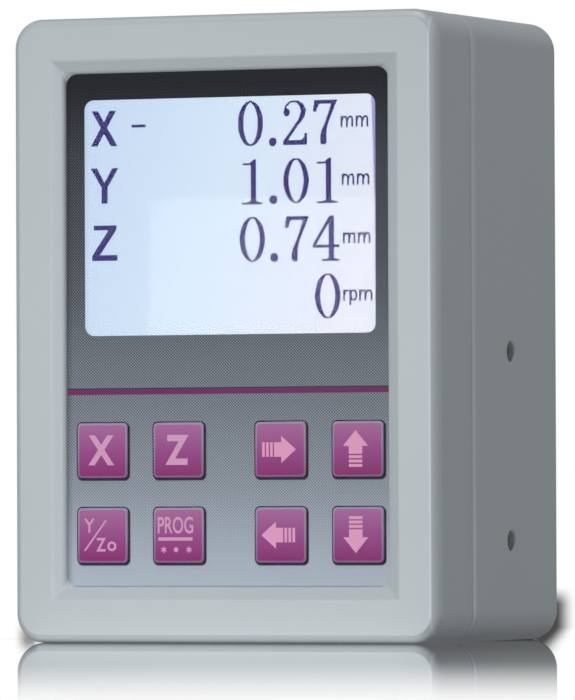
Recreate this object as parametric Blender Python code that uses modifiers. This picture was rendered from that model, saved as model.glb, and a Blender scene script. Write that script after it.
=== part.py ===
"""Digital read-out display unit for a machine tool: an upright case with a screen and eight sprung keys.

The unit stands on its base with +Z up and its front face towards -Y.  The origin is at the middle of
the base.  All lengths are in metres.  A "depth" is a distance behind the front face of the case.
"""

import math

import bmesh
import bpy
from mathutils import Matrix

# ---------------------------------------------------------------- fits
GAP = 0.0003                    # clearance between two pieces that fit together
FUSE = 0.0006                   # how far a boss or post runs into the wall that carries it
OVERRUN = 0.001                 # how far a cutter runs past the surface it opens

# ---------------------------------------------------------------- display window and keypad layout
WINDOW_WIDTH = 0.0811
WINDOW_HEIGHT = 0.0604
WINDOW_CORNER = 0.0026
WINDOW_TOP_BORDER = 0.0068      # foil above the window
WINDOW_TO_KEYS = 0.0223         # foil between the window and the upper keys
KEY_SIZE = 0.0141
KEY_CORNER = 0.0011
KEY_PITCH = 0.02135             # between the two keys of a pair
KEY_CENTRE_PITCH = 0.0284       # between the two middle columns
KEY_ROW_PITCH = 0.0217
KEY_BOTTOM_BORDER = 0.0061      # foil below the lower keys
FOIL_SIDE_BORDER = 0.0022       # least foil beside the window or the keys
FOIL_THICKNESS = 0.0004
FOIL_CORNER = 0.0020
PANEL_SHIFT = 0.0007            # screen and keys sit this far right of the foil's middle

# ---------------------------------------------------------------- case
FRAME_BORDER = 0.0103           # flat frame around the recess
RECESS_CHAMFER = 0.0037         # width of the sloping rim of the recess
RECESS_DEPTH = 0.0024           # depth of the foil's face
FRONT_SHELL_DEPTH = 0.0231
REAR_SHELL_DEPTH = 0.0585
WALL = 0.0030
CASE_CORNER = 0.0075            # rounding of the long edges from front to back
FRONT_EDGE = 0.0025             # rounding of the front rim
REAR_EDGE = 0.0025              # rounding of the rear rim
PANEL_THICKNESS = 0.0025        # wall behind the foil
PANEL_MARGIN = 0.0020           # wall beside the foil's pocket
SEAL_SEAT = 0.0015              # width of the step that holds the seal
SEAL_DEPTH = 0.0012             # depth of that step

# ---------------------------------------------------------------- keys and their switches
KEY_PROUD = 0.0003              # key face in front of the foil
KEY_TRAVEL = 0.0005
KEY_FLANGE = 0.0013             # collar that keeps the key in the panel
KEY_FLANGE_THICKNESS = 0.0010
KEY_STEM_RADIUS = 0.0016
SWITCH_SIZE = 0.0062
SWITCH_HEIGHT = 0.0038
SWITCH_WELL_DEPTH = 0.0024
KEY_BOARD_MARGIN = 0.0035       # board beyond the outer keys

# ---------------------------------------------------------------- screen module
LENS_THICKNESS = 0.0008
BEZEL_BORDER = 0.0045           # metal frame beyond the window
BEZEL_SHEET = 0.0006
BEZEL_LIP = 0.0017              # opening of the metal frame beyond the window
GLASS_THICKNESS = 0.0020
BACKLIGHT_THICKNESS = 0.0040
SCREEN_BOARD_TAB = 0.0065       # board above and below the metal frame
SCREEN_SCREW_INSET = 0.0050     # screw centres from the board's side edges

# ---------------------------------------------------------------- boards and board screws
BOARD_THICKNESS = 0.0016
BOARD_SCREW_RADIUS = 0.0011
BOARD_SCREW_LENGTH = 0.0070
BOARD_SCREW_HEAD_RADIUS = 0.0026
BOARD_SCREW_HEAD = 0.0016
BOARD_POST_RADIUS = 0.0030

MAIN_BOARD_SIDE_GAP = 0.0022    # main board to the screw columns
MAIN_BOARD_BOTTOM = 0.0170
MAIN_BOARD_HEIGHT = 0.0900
MAIN_BOARD_SCREW_INSET = 0.0050

# ---------------------------------------------------------------- case screws
CASE_SCREW_RADIUS = 0.0017
CASE_SCREW_HEAD_RADIUS = 0.0029
CASE_SCREW_HEAD = 0.0024
CASE_SCREW_SEAT = 0.0180        # head seat behind the seam
CASE_SCREW_BITE = 0.0120        # thread in front of the seam
SCREW_CROWN = 0.3               # rounding of a screw's head, as a share of the head's height
SCREW_TIP = 0.3                 # flat end of a screw, as a share of its radius
FRONT_BOSS_RADIUS = 0.0042
COLUMN_RADIUS = 0.0052

# ---------------------------------------------------------------- sockets in the rear wall
SOCKET_RADIUS = 0.0065
SOCKET_NECK_RADIUS = 0.0056
SOCKET_WELL_RADIUS = 0.0044
SOCKET_WELL_DEPTH = 0.0080
SOCKET_LENGTH = 0.0174
SOCKET_PITCH = 0.0180
SOCKET_ROW = 0.0170             # row of sockets above the main board's lower edge
SOCKETS = ("sensor_socket_x", "sensor_socket_y", "sensor_socket_z", "sensor_socket_speed", "power_socket")

# ---------------------------------------------------------------- threaded side inserts
INSERT_DEPTH = 0.0490           # behind the front face
INSERT_HEIGHT = 0.0257          # lower pair above the base
INSERT_SPACING = 0.0485         # lower pair to upper pair
INSERT_RADIUS = 0.00235
INSERT_BORE_RADIUS = 0.00165
INSERT_LENGTH = 0.0055
INSERT_SUNK = 0.0032            # below the side face
INSERT_FLOOR = 0.0010           # plastic behind the blind hole
INSERT_BOSS_WALL = 0.0020

# ---------------------------------------------------------------- parts on the main board
CHIP_SIZE = 0.0140
CHIP_THICKNESS = 0.0018
REGULATOR_WIDTH = 0.0100
REGULATOR_THICKNESS = 0.0045
REGULATOR_HEIGHT = 0.0150
CAPACITOR_RADIUS = 0.0045
CAPACITOR_LENGTH = 0.0120
CAPACITOR_PITCH = 0.0108        # lower capacitor to upper capacitor
SIDE_PARTS_INSET = 0.0151       # regulator and capacitors from the main board's side edges
HEADER_DEPTH = 0.0060
HEADER_HEIGHT = 0.0050
HEADER_MARGIN = 0.0015          # header beyond each side of its ribbon
SCREEN_HEADER_INSET = 0.0100    # screen ribbon's header below the main board's upper edge
KEY_HEADER_DROP = 0.0140        # key ribbon's header below the main board's middle
RIBBON_THICKNESS = 0.0006
SCREEN_RIBBON_WIDTH = 0.0220
KEY_RIBBON_WIDTH = 0.0120

# ---------------------------------------------------------------- fineness of the round shapes
CASE_CORNER_STEPS = 6
CASE_EDGE_STEPS = 4
CORNER_STEPS = 4
EDGE_STEPS = 3
KEY_CORNER_STEPS = 3
POST_SIDES = 16
HOLE_SIDES = 12
SOCKET_SIDES = 20
SCREW_SIDES = 12
RIBBON_STEPS = 12
SMOOTH_ANGLE = math.radians(35)

# ---------------------------------------------------------------- directions and names
FACING_FRONT = (math.pi / 2, 0.0, 0.0)      # local Z towards -Y
FACING_REAR = (-math.pi / 2, 0.0, 0.0)      # local Z towards +Y
CORNERS = ("bottom_left", "bottom_right", "top_left", "top_right")
LEVELS = ("lower", "upper")

# ---------------------------------------------------------------- sizes that follow
KEYPAD_WIDTH = KEY_SIZE + KEY_CENTRE_PITCH + 2 * KEY_PITCH
FOIL_WIDTH = max(KEYPAD_WIDTH, WINDOW_WIDTH) + 2 * FOIL_SIDE_BORDER
FOIL_HEIGHT = (WINDOW_TOP_BORDER + WINDOW_HEIGHT + WINDOW_TO_KEYS
               + KEY_ROW_PITCH + KEY_SIZE + KEY_BOTTOM_BORDER)
POCKET_WIDTH = FOIL_WIDTH + 2 * GAP
POCKET_HEIGHT = FOIL_HEIGHT + 2 * GAP
CASE_WIDTH = POCKET_WIDTH + 2 * (RECESS_CHAMFER + FRAME_BORDER)
CASE_HEIGHT = POCKET_HEIGHT + 2 * (RECESS_CHAMFER + FRAME_BORDER)
CASE_DEPTH = FRONT_SHELL_DEPTH + REAR_SHELL_DEPTH
FRONT_Y = -CASE_DEPTH / 2

FOIL_BOTTOM = (CASE_HEIGHT - FOIL_HEIGHT) / 2
LOWER_KEY_Z = FOIL_BOTTOM + KEY_BOTTOM_BORDER + KEY_SIZE / 2
UPPER_KEY_Z = LOWER_KEY_Z + KEY_ROW_PITCH
WINDOW_Z = UPPER_KEY_Z + KEY_SIZE / 2 + WINDOW_TO_KEYS + WINDOW_HEIGHT / 2
KEY_COLUMNS = [PANEL_SHIFT + side * (KEY_CENTRE_PITCH / 2 + step * KEY_PITCH)
               for side, step in ((-1, 1), (-1, 0), (1, 0), (1, 1))]

POCKET_FLOOR = RECESS_DEPTH + FOIL_THICKNESS + GAP
PANEL_BACK = POCKET_FLOOR + PANEL_THICKNESS
SEAM_FRONT = FRONT_SHELL_DEPTH - GAP / 2
SEAM_REAR = FRONT_SHELL_DEPTH + GAP / 2
REAR_WALL_FRONT = CASE_DEPTH - WALL

LENS_BACK = POCKET_FLOOR + LENS_THICKNESS
BEZEL_FRONT = LENS_BACK + GAP
GLASS_FRONT = BEZEL_FRONT + BEZEL_SHEET + GAP
BACKLIGHT_FRONT = GLASS_FRONT + GLASS_THICKNESS + GAP
BEZEL_BACK = BACKLIGHT_FRONT + BACKLIGHT_THICKNESS + GAP
SCREEN_BOARD_FRONT = BEZEL_BACK + GAP
BEZEL_WIDTH = WINDOW_WIDTH + 2 * BEZEL_BORDER
BEZEL_HEIGHT = WINDOW_HEIGHT + 2 * BEZEL_BORDER
SCREEN_BOARD_HEIGHT = BEZEL_HEIGHT + 2 * SCREEN_BOARD_TAB

FLANGE_FRONT = PANEL_BACK + GAP
FLANGE_BACK = FLANGE_FRONT + KEY_FLANGE_THICKNESS
SWITCH_FRONT = FLANGE_BACK + KEY_TRAVEL + GAP
STEM_END = SWITCH_FRONT + SWITCH_WELL_DEPTH - KEY_TRAVEL - GAP
KEY_BOARD_FRONT = SWITCH_FRONT + SWITCH_HEIGHT + GAP

COLUMN_INSET = WALL + GAP + FRONT_BOSS_RADIUS
COLUMN_X = CASE_WIDTH / 2 - COLUMN_INSET
COLUMN_PLACES = [(side * COLUMN_X, height) for height in (COLUMN_INSET, CASE_HEIGHT - COLUMN_INSET)
                 for side in (-1, 1)]

SOCKET_BACK = CASE_DEPTH - GAP
MAIN_BOARD_BACK = SOCKET_BACK - SOCKET_LENGTH - GAP
MAIN_BOARD_FRONT = MAIN_BOARD_BACK - BOARD_THICKNESS
MAIN_BOARD_WIDTH = 2 * (COLUMN_X - COLUMN_RADIUS - MAIN_BOARD_SIDE_GAP)
MAIN_BOARD_Z = MAIN_BOARD_BOTTOM + MAIN_BOARD_HEIGHT / 2
SOCKET_PLACES = [((index - (len(SOCKETS) - 1) / 2) * SOCKET_PITCH, MAIN_BOARD_BOTTOM + SOCKET_ROW)
                 for index in range(len(SOCKETS))]

SCREEN_SCREWS = [(PANEL_SHIFT + side * (BEZEL_WIDTH / 2 - SCREEN_SCREW_INSET),
                  WINDOW_Z + level * (BEZEL_HEIGHT + SCREEN_BOARD_TAB) / 2)
                 for level in (-1, 1) for side in (-1, 1)]
KEY_BOARD_SCREWS = [(PANEL_SHIFT, LOWER_KEY_Z), (PANEL_SHIFT, UPPER_KEY_Z)]
MAIN_SCREWS = [(side * (MAIN_BOARD_WIDTH / 2 - MAIN_BOARD_SCREW_INSET),
                MAIN_BOARD_Z + level * (MAIN_BOARD_HEIGHT / 2 - MAIN_BOARD_SCREW_INSET))
               for level in (-1, 1) for side in (-1, 1)]
INSERT_PLACES = [(side, INSERT_HEIGHT + level * INSERT_SPACING)
                 for side in (-1, 1) for level in range(len(LEVELS))]

# ---------------------------------------------------------------- finishes: colour, roughness, metallic
FINISHES = {
    "grey_case": ((0.47, 0.51, 0.53), 0.55, 0.0),
    "black_rubber": ((0.03, 0.03, 0.03), 0.80, 0.0),
    "printed_foil": ((0.16, 0.18, 0.21), 0.45, 0.0),
    "purple_key": ((0.33, 0.07, 0.24), 0.40, 0.0),
    "clear_lens": ((0.70, 0.80, 0.92), 0.08, 0.0),
    "screen_glass": ((0.60, 0.72, 0.88), 0.10, 0.0),
    "white_lightguide": ((0.85, 0.88, 0.90), 0.35, 0.0),
    "black_steel": ((0.04, 0.04, 0.045), 0.40, 0.9),
    "green_board": ((0.03, 0.16, 0.07), 0.50, 0.0),
    "black_plastic": ((0.02, 0.02, 0.022), 0.45, 0.0),
    "white_plastic": ((0.75, 0.74, 0.70), 0.50, 0.0),
    "zinc_steel": ((0.62, 0.62, 0.60), 0.30, 1.0),
    "brass": ((0.72, 0.52, 0.22), 0.32, 1.0),
    "blue_sleeve": ((0.03, 0.06, 0.20), 0.35, 0.0),
    "grey_ribbon": ((0.42, 0.42, 0.43), 0.55, 0.0),
}


# ---------------------------------------------------------------- scene, finishes and objects
def clear_scene():
    """Remove every object, mesh, curve and material left from before."""
    for item in list(bpy.data.objects):
        bpy.data.objects.remove(item, do_unlink=True)
    for store in (bpy.data.meshes, bpy.data.curves, bpy.data.materials):
        for block in list(store):
            store.remove(block)


def make_collection(name):
    """Give a new collection, linked to the scene."""
    group = bpy.data.collections.new(name)
    bpy.context.scene.collection.children.link(group)
    return group


def make_finish(name):
    """Give the Principled material called name, made at its first use."""
    found = bpy.data.materials.get(name)
    if found:
        return found
    colour, roughness, metallic = FINISHES[name]
    material = bpy.data.materials.new(name)
    material.use_nodes = True
    shader = material.node_tree.nodes["Principled BSDF"]
    shader.inputs["Base Color"].default_value = (*colour, 1.0)
    shader.inputs["Roughness"].default_value = roughness
    shader.inputs["Metallic"].default_value = metallic
    return material


def place_part(name, data, finish, location=(0.0, 0.0, 0.0), rotation=(0.0, 0.0, 0.0)):
    """Put mesh or curve data into the parts' collection as the object called name."""
    part = bpy.data.objects.new(name, data)
    PARTS.objects.link(part)
    part.parent = UNIT
    part.location = location
    part.rotation_euler = rotation
    if not data.materials:
        data.materials.append(make_finish(finish))
    return part


def place_tool(name, data, location=(0.0, 0.0, 0.0), rotation=(0.0, 0.0, 0.0)):
    """Put mesh data into the cutters' collection; it is a tool and not a piece of the unit."""
    tool = bpy.data.objects.new(name, data)
    TOOLS.objects.link(tool)
    tool.location = location
    tool.rotation_euler = rotation
    tool.hide_render = True
    tool.display_type = "WIRE"
    return tool


def combine(part, operation, tool):
    """Join the tool's shape to a part, or cut it away, with a live Boolean modifier."""
    step = part.modifiers.new(tool.name, "BOOLEAN")
    step.operation = operation
    step.solver = "EXACT"
    step.object = tool


def join(part, tool):
    """Add the tool's shape to the part."""
    combine(part, "UNION", tool)


def cut(part, tool):
    """Take the tool's shape away from the part."""
    combine(part, "DIFFERENCE", tool)


def bake(part):
    """Give the part's finished mesh, with its modifiers applied, and remove the part."""
    bpy.context.view_layer.update()
    evaluated = part.evaluated_get(bpy.context.evaluated_depsgraph_get())
    mesh = bpy.data.meshes.new_from_object(evaluated)
    mesh.name = part.name
    bpy.data.objects.remove(part, do_unlink=True)
    return mesh


# ---------------------------------------------------------------- basic shapes
def finish_mesh(name, shape):
    """Turn a bmesh into mesh data with its round faces shaded smooth."""
    mesh = bpy.data.meshes.new(name)
    bmesh.ops.recalc_face_normals(shape, faces=shape.faces)
    shape.to_mesh(mesh)
    shape.free()
    mesh.shade_smooth()
    mesh.set_sharp_from_angle(angle=SMOOTH_ANGLE)
    return mesh


def rounded_box(size, corner=0.0, front_round=0.0, rear_round=0.0, corner_steps=CORNER_STEPS,
                edge_steps=EDGE_STEPS):
    """Give the bmesh of a box; corner rounds its edges along Y, the other two the rims of its ends."""
    shape = bmesh.new()
    bmesh.ops.create_cube(shape, size=1.0, matrix=Matrix.Diagonal((*size, 1.0)))
    if corner > 0:
        along = [edge for edge in shape.edges
                 if abs(edge.verts[0].co.y - edge.verts[1].co.y) > size[1] / 2]
        bmesh.ops.bevel(shape, geom=along, offset=corner, segments=corner_steps, profile=0.5, affect="EDGES")
    for side, radius in ((-1, front_round), (1, rear_round)):
        if radius > 0:
            rim = [edge for edge in shape.edges
                   if all(abs(vert.co.y - side * size[1] / 2) < GAP / 10 for vert in edge.verts)]
            bmesh.ops.bevel(shape, geom=rim, offset=radius, segments=edge_steps, profile=0.5, affect="EDGES")
    return shape


def block_mesh(name, size, **rounding):
    """Mesh of one box about its own centre, with rounded edges as in rounded_box."""
    return finish_mesh(name, rounded_box(size, **rounding))


def block_group(name, size, centres, **rounding):
    """Mesh of several equal boxes at the given centres."""
    single = block_mesh(name + "_single", size, **rounding)
    group = bmesh.new()
    for centre in centres:
        before = len(group.verts)
        group.from_mesh(single)
        group.verts.ensure_lookup_table()
        bmesh.ops.translate(group, vec=centre, verts=group.verts[before:])
    bpy.data.meshes.remove(single)
    return finish_mesh(name, group)


def rod_group(name, radius, length, centres, axis="Y", sides=POST_SIDES):
    """Mesh of several equal cylinders along one axis at the given centres."""
    turn = Matrix.Rotation(math.pi / 2, 4, "X" if axis == "Y" else "Y")
    group = bmesh.new()
    for centre in centres:
        bmesh.ops.create_cone(group, cap_ends=True, segments=sides, radius1=radius, radius2=radius,
                              depth=length, matrix=Matrix.Translation(centre) @ turn)
    return finish_mesh(name, group)


def span(front, back):
    """Give the length between two depths and the Y of the middle between them."""
    return back - front, FRONT_Y + (front + back) / 2


def rods_between(name, radius, front, back, places, sides=POST_SIDES):
    """Cylinders along Y between two depths at the given (x, z) places."""
    length, middle = span(front, back)
    return rod_group(name, radius, length, [(x, middle, z) for x, z in places], sides=sides)


def block_between(name, width, height, front, back, x, z, finish, **rounding):
    """A part that is one box between two depths, centred at x and z."""
    length, middle = span(front, back)
    mesh = block_mesh(name, (width, length, height), **rounding)
    return place_part(name, mesh, finish, (x, middle, z))


def tool_between(name, width, height, front, back, x, z, **rounding):
    """A cutting or joining box between two depths, centred at x and z."""
    length, middle = span(front, back)
    mesh = block_mesh(name, (width, length, height), **rounding)
    return place_tool(name, mesh, (x, middle, z))


def turned(name, profile, finish, location, rotation, steps=POST_SIDES, ring=False):
    """A turned part: profile holds (radius, height) points that run down its outer side.

    The profile turns about local Z.  A ring's profile closes on itself; any other one ends on the axis.
    """
    mesh = bpy.data.meshes.new(name)
    points = [(radius, 0.0, height) for radius, height in profile]
    edges = [(index, index + 1) for index in range(len(points) - 1)]
    if ring:
        edges.append((len(points) - 1, 0))
    mesh.from_pydata(points, edges, [])
    part = place_part(name, mesh, finish, location, rotation)
    lathe = part.modifiers.new("turn", "SCREW")
    lathe.axis = "Z"
    lathe.angle = 2 * math.pi
    lathe.steps = steps
    lathe.render_steps = steps
    lathe.use_merge_vertices = True
    lathe.merge_threshold = 0.00001
    lathe.use_smooth_shade = True
    return part


# ---------------------------------------------------------------- case
def recess_tool():
    """Four-sided funnel that cuts the sloping rim of the recess, square at its corners."""
    reach = 1 + OVERRUN / RECESS_DEPTH
    length, middle = span(-OVERRUN, RECESS_DEPTH)
    shape = bmesh.new()
    bmesh.ops.create_cube(shape, size=1.0)
    for vert in shape.verts:
        slope = RECESS_CHAMFER * reach if vert.co.y < 0 else 0.0
        vert.co.x *= POCKET_WIDTH + 2 * slope
        vert.co.z *= POCKET_HEIGHT + 2 * slope
        vert.co.y *= length
    return place_tool("cut_recess", finish_mesh("cut_recess", shape), (0, middle, CASE_HEIGHT / 2))


def make_front_shell():
    """Front half of the case: frame, recess for the foil, panel behind it and all its bosses."""
    middle_z = CASE_HEIGHT / 2
    shell = block_between("front_shell", CASE_WIDTH, CASE_HEIGHT, 0, SEAM_FRONT, 0, middle_z, "grey_case",
                          corner=CASE_CORNER, front_round=FRONT_EDGE, corner_steps=CASE_CORNER_STEPS,
                          edge_steps=CASE_EDGE_STEPS)
    inner_corner = max(CASE_CORNER - WALL, GAP)
    cut(shell, tool_between("cut_front_cavity", CASE_WIDTH - 2 * WALL, CASE_HEIGHT - 2 * WALL,
                            WALL, SEAM_FRONT + OVERRUN, 0, middle_z, corner=inner_corner))
    land = WALL - SEAL_SEAT
    cut(shell, tool_between("cut_seal_seat", CASE_WIDTH - 2 * land, CASE_HEIGHT - 2 * land,
                            SEAM_FRONT - SEAL_DEPTH, SEAM_FRONT + OVERRUN, 0, middle_z,
                            corner=max(CASE_CORNER - land, GAP)))
    join(shell, tool_between("add_panel", POCKET_WIDTH + 2 * PANEL_MARGIN, POCKET_HEIGHT + 2 * PANEL_MARGIN,
                             WALL - FUSE, PANEL_BACK, 0, middle_z))
    join(shell, place_tool("add_case_bosses", rods_between(
        "add_case_bosses", FRONT_BOSS_RADIUS, WALL - FUSE, SEAM_FRONT, COLUMN_PLACES)))
    join(shell, place_tool("add_screen_bosses", rods_between(
        "add_screen_bosses", BOARD_POST_RADIUS, WALL - FUSE, SCREEN_BOARD_FRONT - GAP, SCREEN_SCREWS)))
    join(shell, place_tool("add_key_bosses", rods_between(
        "add_key_bosses", BOARD_POST_RADIUS, PANEL_BACK - FUSE, KEY_BOARD_FRONT - GAP, KEY_BOARD_SCREWS)))
    cut(shell, recess_tool())
    cut(shell, tool_between("cut_pocket", POCKET_WIDTH, POCKET_HEIGHT, RECESS_DEPTH / 2, POCKET_FLOOR,
                            0, middle_z, corner=FOIL_CORNER + GAP))
    cut(shell, tool_between("cut_screen", BEZEL_WIDTH + 2 * GAP, BEZEL_HEIGHT + 2 * GAP,
                            RECESS_DEPTH, PANEL_BACK + OVERRUN, PANEL_SHIFT, WINDOW_Z))
    cut(shell, key_openings("cut_key_holes", RECESS_DEPTH, PANEL_BACK + OVERRUN))
    cut_screw_holes(shell, "front", CASE_SCREW_RADIUS + GAP, SEAM_FRONT - CASE_SCREW_BITE - OVERRUN,
                    SEAM_FRONT + OVERRUN, COLUMN_PLACES)
    cut_screw_holes(shell, "screen", BOARD_SCREW_RADIUS + GAP, SCREEN_BOARD_FRONT - BOARD_SCREW_LENGTH,
                    SCREEN_BOARD_FRONT, SCREEN_SCREWS)
    cut_screw_holes(shell, "key_board", BOARD_SCREW_RADIUS + GAP, KEY_BOARD_FRONT - BOARD_SCREW_LENGTH,
                    KEY_BOARD_FRONT, KEY_BOARD_SCREWS)
    return shell


def key_openings(name, front, back):
    """Cutter for the eight key openings between two depths."""
    length, middle = span(front, back)
    side = KEY_SIZE + 2 * GAP
    centres = [(x, middle, z) for z in (LOWER_KEY_Z, UPPER_KEY_Z) for x in KEY_COLUMNS]
    return place_tool(name, block_group(
        name, (side, length, side), centres, corner=KEY_CORNER + GAP, corner_steps=KEY_CORNER_STEPS))


def cut_screw_holes(part, name, radius, front, back, places):
    """Drill round holes along Y between two depths."""
    tool_name = "cut_holes_" + name
    cut(part, place_tool(tool_name, rods_between(
        tool_name, radius, front, back, places, sides=HOLE_SIDES)))


def make_rear_shell():
    """Rear half of the case: columns for the case screws, posts for the board, sockets and side holes."""
    middle_z = CASE_HEIGHT / 2
    shell = block_between("rear_shell", CASE_WIDTH, CASE_HEIGHT, SEAM_REAR, CASE_DEPTH, 0, middle_z,
                          "grey_case", corner=CASE_CORNER, rear_round=REAR_EDGE,
                          corner_steps=CASE_CORNER_STEPS, edge_steps=CASE_EDGE_STEPS)
    cut(shell, tool_between("cut_rear_cavity", CASE_WIDTH - 2 * WALL, CASE_HEIGHT - 2 * WALL,
                            SEAM_REAR - OVERRUN, REAR_WALL_FRONT, 0, middle_z,
                            corner=max(CASE_CORNER - WALL, GAP)))
    join(shell, place_tool("add_columns", rods_between(
        "add_columns", COLUMN_RADIUS, SEAM_REAR, REAR_WALL_FRONT + FUSE, COLUMN_PLACES)))
    join(shell, place_tool("add_posts", rods_between(
        "add_posts", BOARD_POST_RADIUS, MAIN_BOARD_BACK + GAP, REAR_WALL_FRONT + FUSE, MAIN_SCREWS)))
    boss_depth = INSERT_SUNK + INSERT_LENGTH + GAP + INSERT_FLOOR
    boss_length = boss_depth - WALL + FUSE
    boss_x = CASE_WIDTH / 2 - boss_depth + boss_length / 2
    insert_y = FRONT_Y + INSERT_DEPTH
    join(shell, place_tool("add_insert_bosses", rod_group(
        "add_insert_bosses", INSERT_RADIUS + GAP + INSERT_BOSS_WALL, boss_length,
        [(side * boss_x, insert_y, z) for side, z in INSERT_PLACES], axis="X")))
    hole_depth = boss_depth - INSERT_FLOOR
    hole_length = hole_depth + OVERRUN
    hole_x = CASE_WIDTH / 2 - hole_depth + hole_length / 2
    cut(shell, place_tool("cut_insert_holes", rod_group(
        "cut_insert_holes", INSERT_RADIUS + GAP, hole_length,
        [(side * hole_x, insert_y, z) for side, z in INSERT_PLACES], axis="X", sides=SOCKET_SIDES)))
    cut_screw_holes(shell, "rear", CASE_SCREW_RADIUS + GAP, SEAM_REAR - OVERRUN, CASE_DEPTH, COLUMN_PLACES)
    cut_screw_holes(shell, "head", CASE_SCREW_HEAD_RADIUS + GAP, FRONT_SHELL_DEPTH + CASE_SCREW_SEAT,
                    CASE_DEPTH + OVERRUN, COLUMN_PLACES)
    cut_screw_holes(shell, "main_board", BOARD_SCREW_RADIUS + GAP, MAIN_BOARD_BACK,
                    MAIN_BOARD_BACK + BOARD_SCREW_LENGTH, MAIN_SCREWS)
    cut(shell, place_tool("cut_sockets", rods_between(
        "cut_sockets", SOCKET_NECK_RADIUS + GAP, REAR_WALL_FRONT - OVERRUN, CASE_DEPTH + OVERRUN,
        SOCKET_PLACES, sides=SOCKET_SIDES)))
    return shell


def make_seal():
    """Rubber ring that closes the seam from inside."""
    outer_inset = WALL - SEAL_SEAT + GAP
    front = SEAM_FRONT - SEAL_DEPTH + GAP
    back = SEAM_REAR - GAP
    seal = block_between("shell_seal", CASE_WIDTH - 2 * outer_inset, CASE_HEIGHT - 2 * outer_inset,
                         front, back, 0, CASE_HEIGHT / 2, "black_rubber",
                         corner=max(CASE_CORNER - outer_inset, GAP))
    cut(seal, tool_between("cut_seal", CASE_WIDTH - 2 * WALL, CASE_HEIGHT - 2 * WALL, front - OVERRUN,
                           back + OVERRUN, 0, CASE_HEIGHT / 2, corner=max(CASE_CORNER - WALL, GAP)))
    return seal


def make_case_screws():
    """Four long screws that go in from the rear and draw the shells together."""
    seat = FRONT_Y + FRONT_SHELL_DEPTH + CASE_SCREW_SEAT + GAP
    length = CASE_SCREW_SEAT + GAP + CASE_SCREW_BITE
    for name, (x, z) in zip(CORNERS, COLUMN_PLACES):
        make_screw("case_screw_" + name, CASE_SCREW_HEAD_RADIUS, CASE_SCREW_HEAD, CASE_SCREW_RADIUS, length,
                   (x, seat, z), FACING_REAR)


def make_screw(name, head_radius, head, radius, length, seat, rotation):
    """A pan-head screw with its origin under the head and its head along local +Z."""
    crown = head * SCREW_CROWN
    profile = [(0, head), (head_radius - crown, head), (head_radius, head - crown), (head_radius, 0),
               (radius, 0), (radius, -length + radius), (radius * SCREW_TIP, -length), (0, -length)]
    return turned(name, profile, "zinc_steel", seat, rotation, steps=SCREW_SIDES)


# ---------------------------------------------------------------- foil and keys
def make_foil():
    """Printed foil in the recess, with the window and the eight key openings."""
    back = RECESS_DEPTH + FOIL_THICKNESS
    foil = block_between("front_foil", FOIL_WIDTH, FOIL_HEIGHT, RECESS_DEPTH, back, 0, CASE_HEIGHT / 2,
                         "printed_foil", corner=FOIL_CORNER)
    cut(foil, tool_between("cut_window", WINDOW_WIDTH, WINDOW_HEIGHT, RECESS_DEPTH - OVERRUN, back + OVERRUN,
                           PANEL_SHIFT, WINDOW_Z, corner=WINDOW_CORNER))
    cut(foil, key_openings("cut_foil_keys", RECESS_DEPTH - OVERRUN, back + OVERRUN))
    return foil


def key_mesh():
    """Key about its own centre line: cap, collar behind the panel and stem.  Y = 0 is its face."""
    face = RECESS_DEPTH - KEY_PROUD
    cap_length = FLANGE_FRONT + FUSE - face
    cap = block_mesh("key_cap", (KEY_SIZE, cap_length, KEY_SIZE), corner=KEY_CORNER,
                     corner_steps=KEY_CORNER_STEPS)
    cap.transform(Matrix.Translation((0, cap_length / 2, 0)))
    key = place_part("key", cap, "purple_key")
    collar = KEY_SIZE + 2 * KEY_FLANGE
    collar_middle = (FLANGE_FRONT + FLANGE_BACK) / 2 - face
    collar_tool = place_tool("key_collar", block_mesh(
        "key_collar", (collar, KEY_FLANGE_THICKNESS, collar)), (0, collar_middle, 0))
    stem_length = STEM_END - FLANGE_BACK + FUSE
    stem_tool = place_tool("key_stem", rod_group(
        "key_stem", KEY_STEM_RADIUS, stem_length, [(0, STEM_END - face - stem_length / 2, 0)],
        sides=HOLE_SIDES))
    join(key, collar_tool)
    join(key, stem_tool)
    return bake(key)


def switch_mesh():
    """Push switch about its own centre line: a body with a round well.  Y = 0 is its front."""
    body = block_mesh("switch_body", (SWITCH_SIZE, SWITCH_HEIGHT, SWITCH_SIZE))
    body.transform(Matrix.Translation((0, SWITCH_HEIGHT / 2, 0)))
    switch = place_part("switch", body, "black_plastic")
    well_length = SWITCH_WELL_DEPTH + OVERRUN
    cut(switch, place_tool("cut_well", rod_group(
        "cut_well", KEY_STEM_RADIUS + GAP, well_length, [(0, well_length / 2 - OVERRUN, 0)],
        sides=HOLE_SIDES)))
    return bake(switch)


def make_keys():
    """Eight keys in two rows, each over its own switch on the key board."""
    rows = ((UPPER_KEY_Z, ("x", "z", "right", "up")), (LOWER_KEY_Z, ("y_z0", "prog", "left", "down")))
    key_data = key_mesh()
    switch_data = switch_mesh()
    for height, names in rows:
        for x, name in zip(KEY_COLUMNS, names):
            place_part("key_" + name, key_data, "purple_key",
                       (x, FRONT_Y + RECESS_DEPTH - KEY_PROUD, height))
            place_part("switch_" + name, switch_data, "black_plastic", (x, FRONT_Y + SWITCH_FRONT, height))


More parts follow.
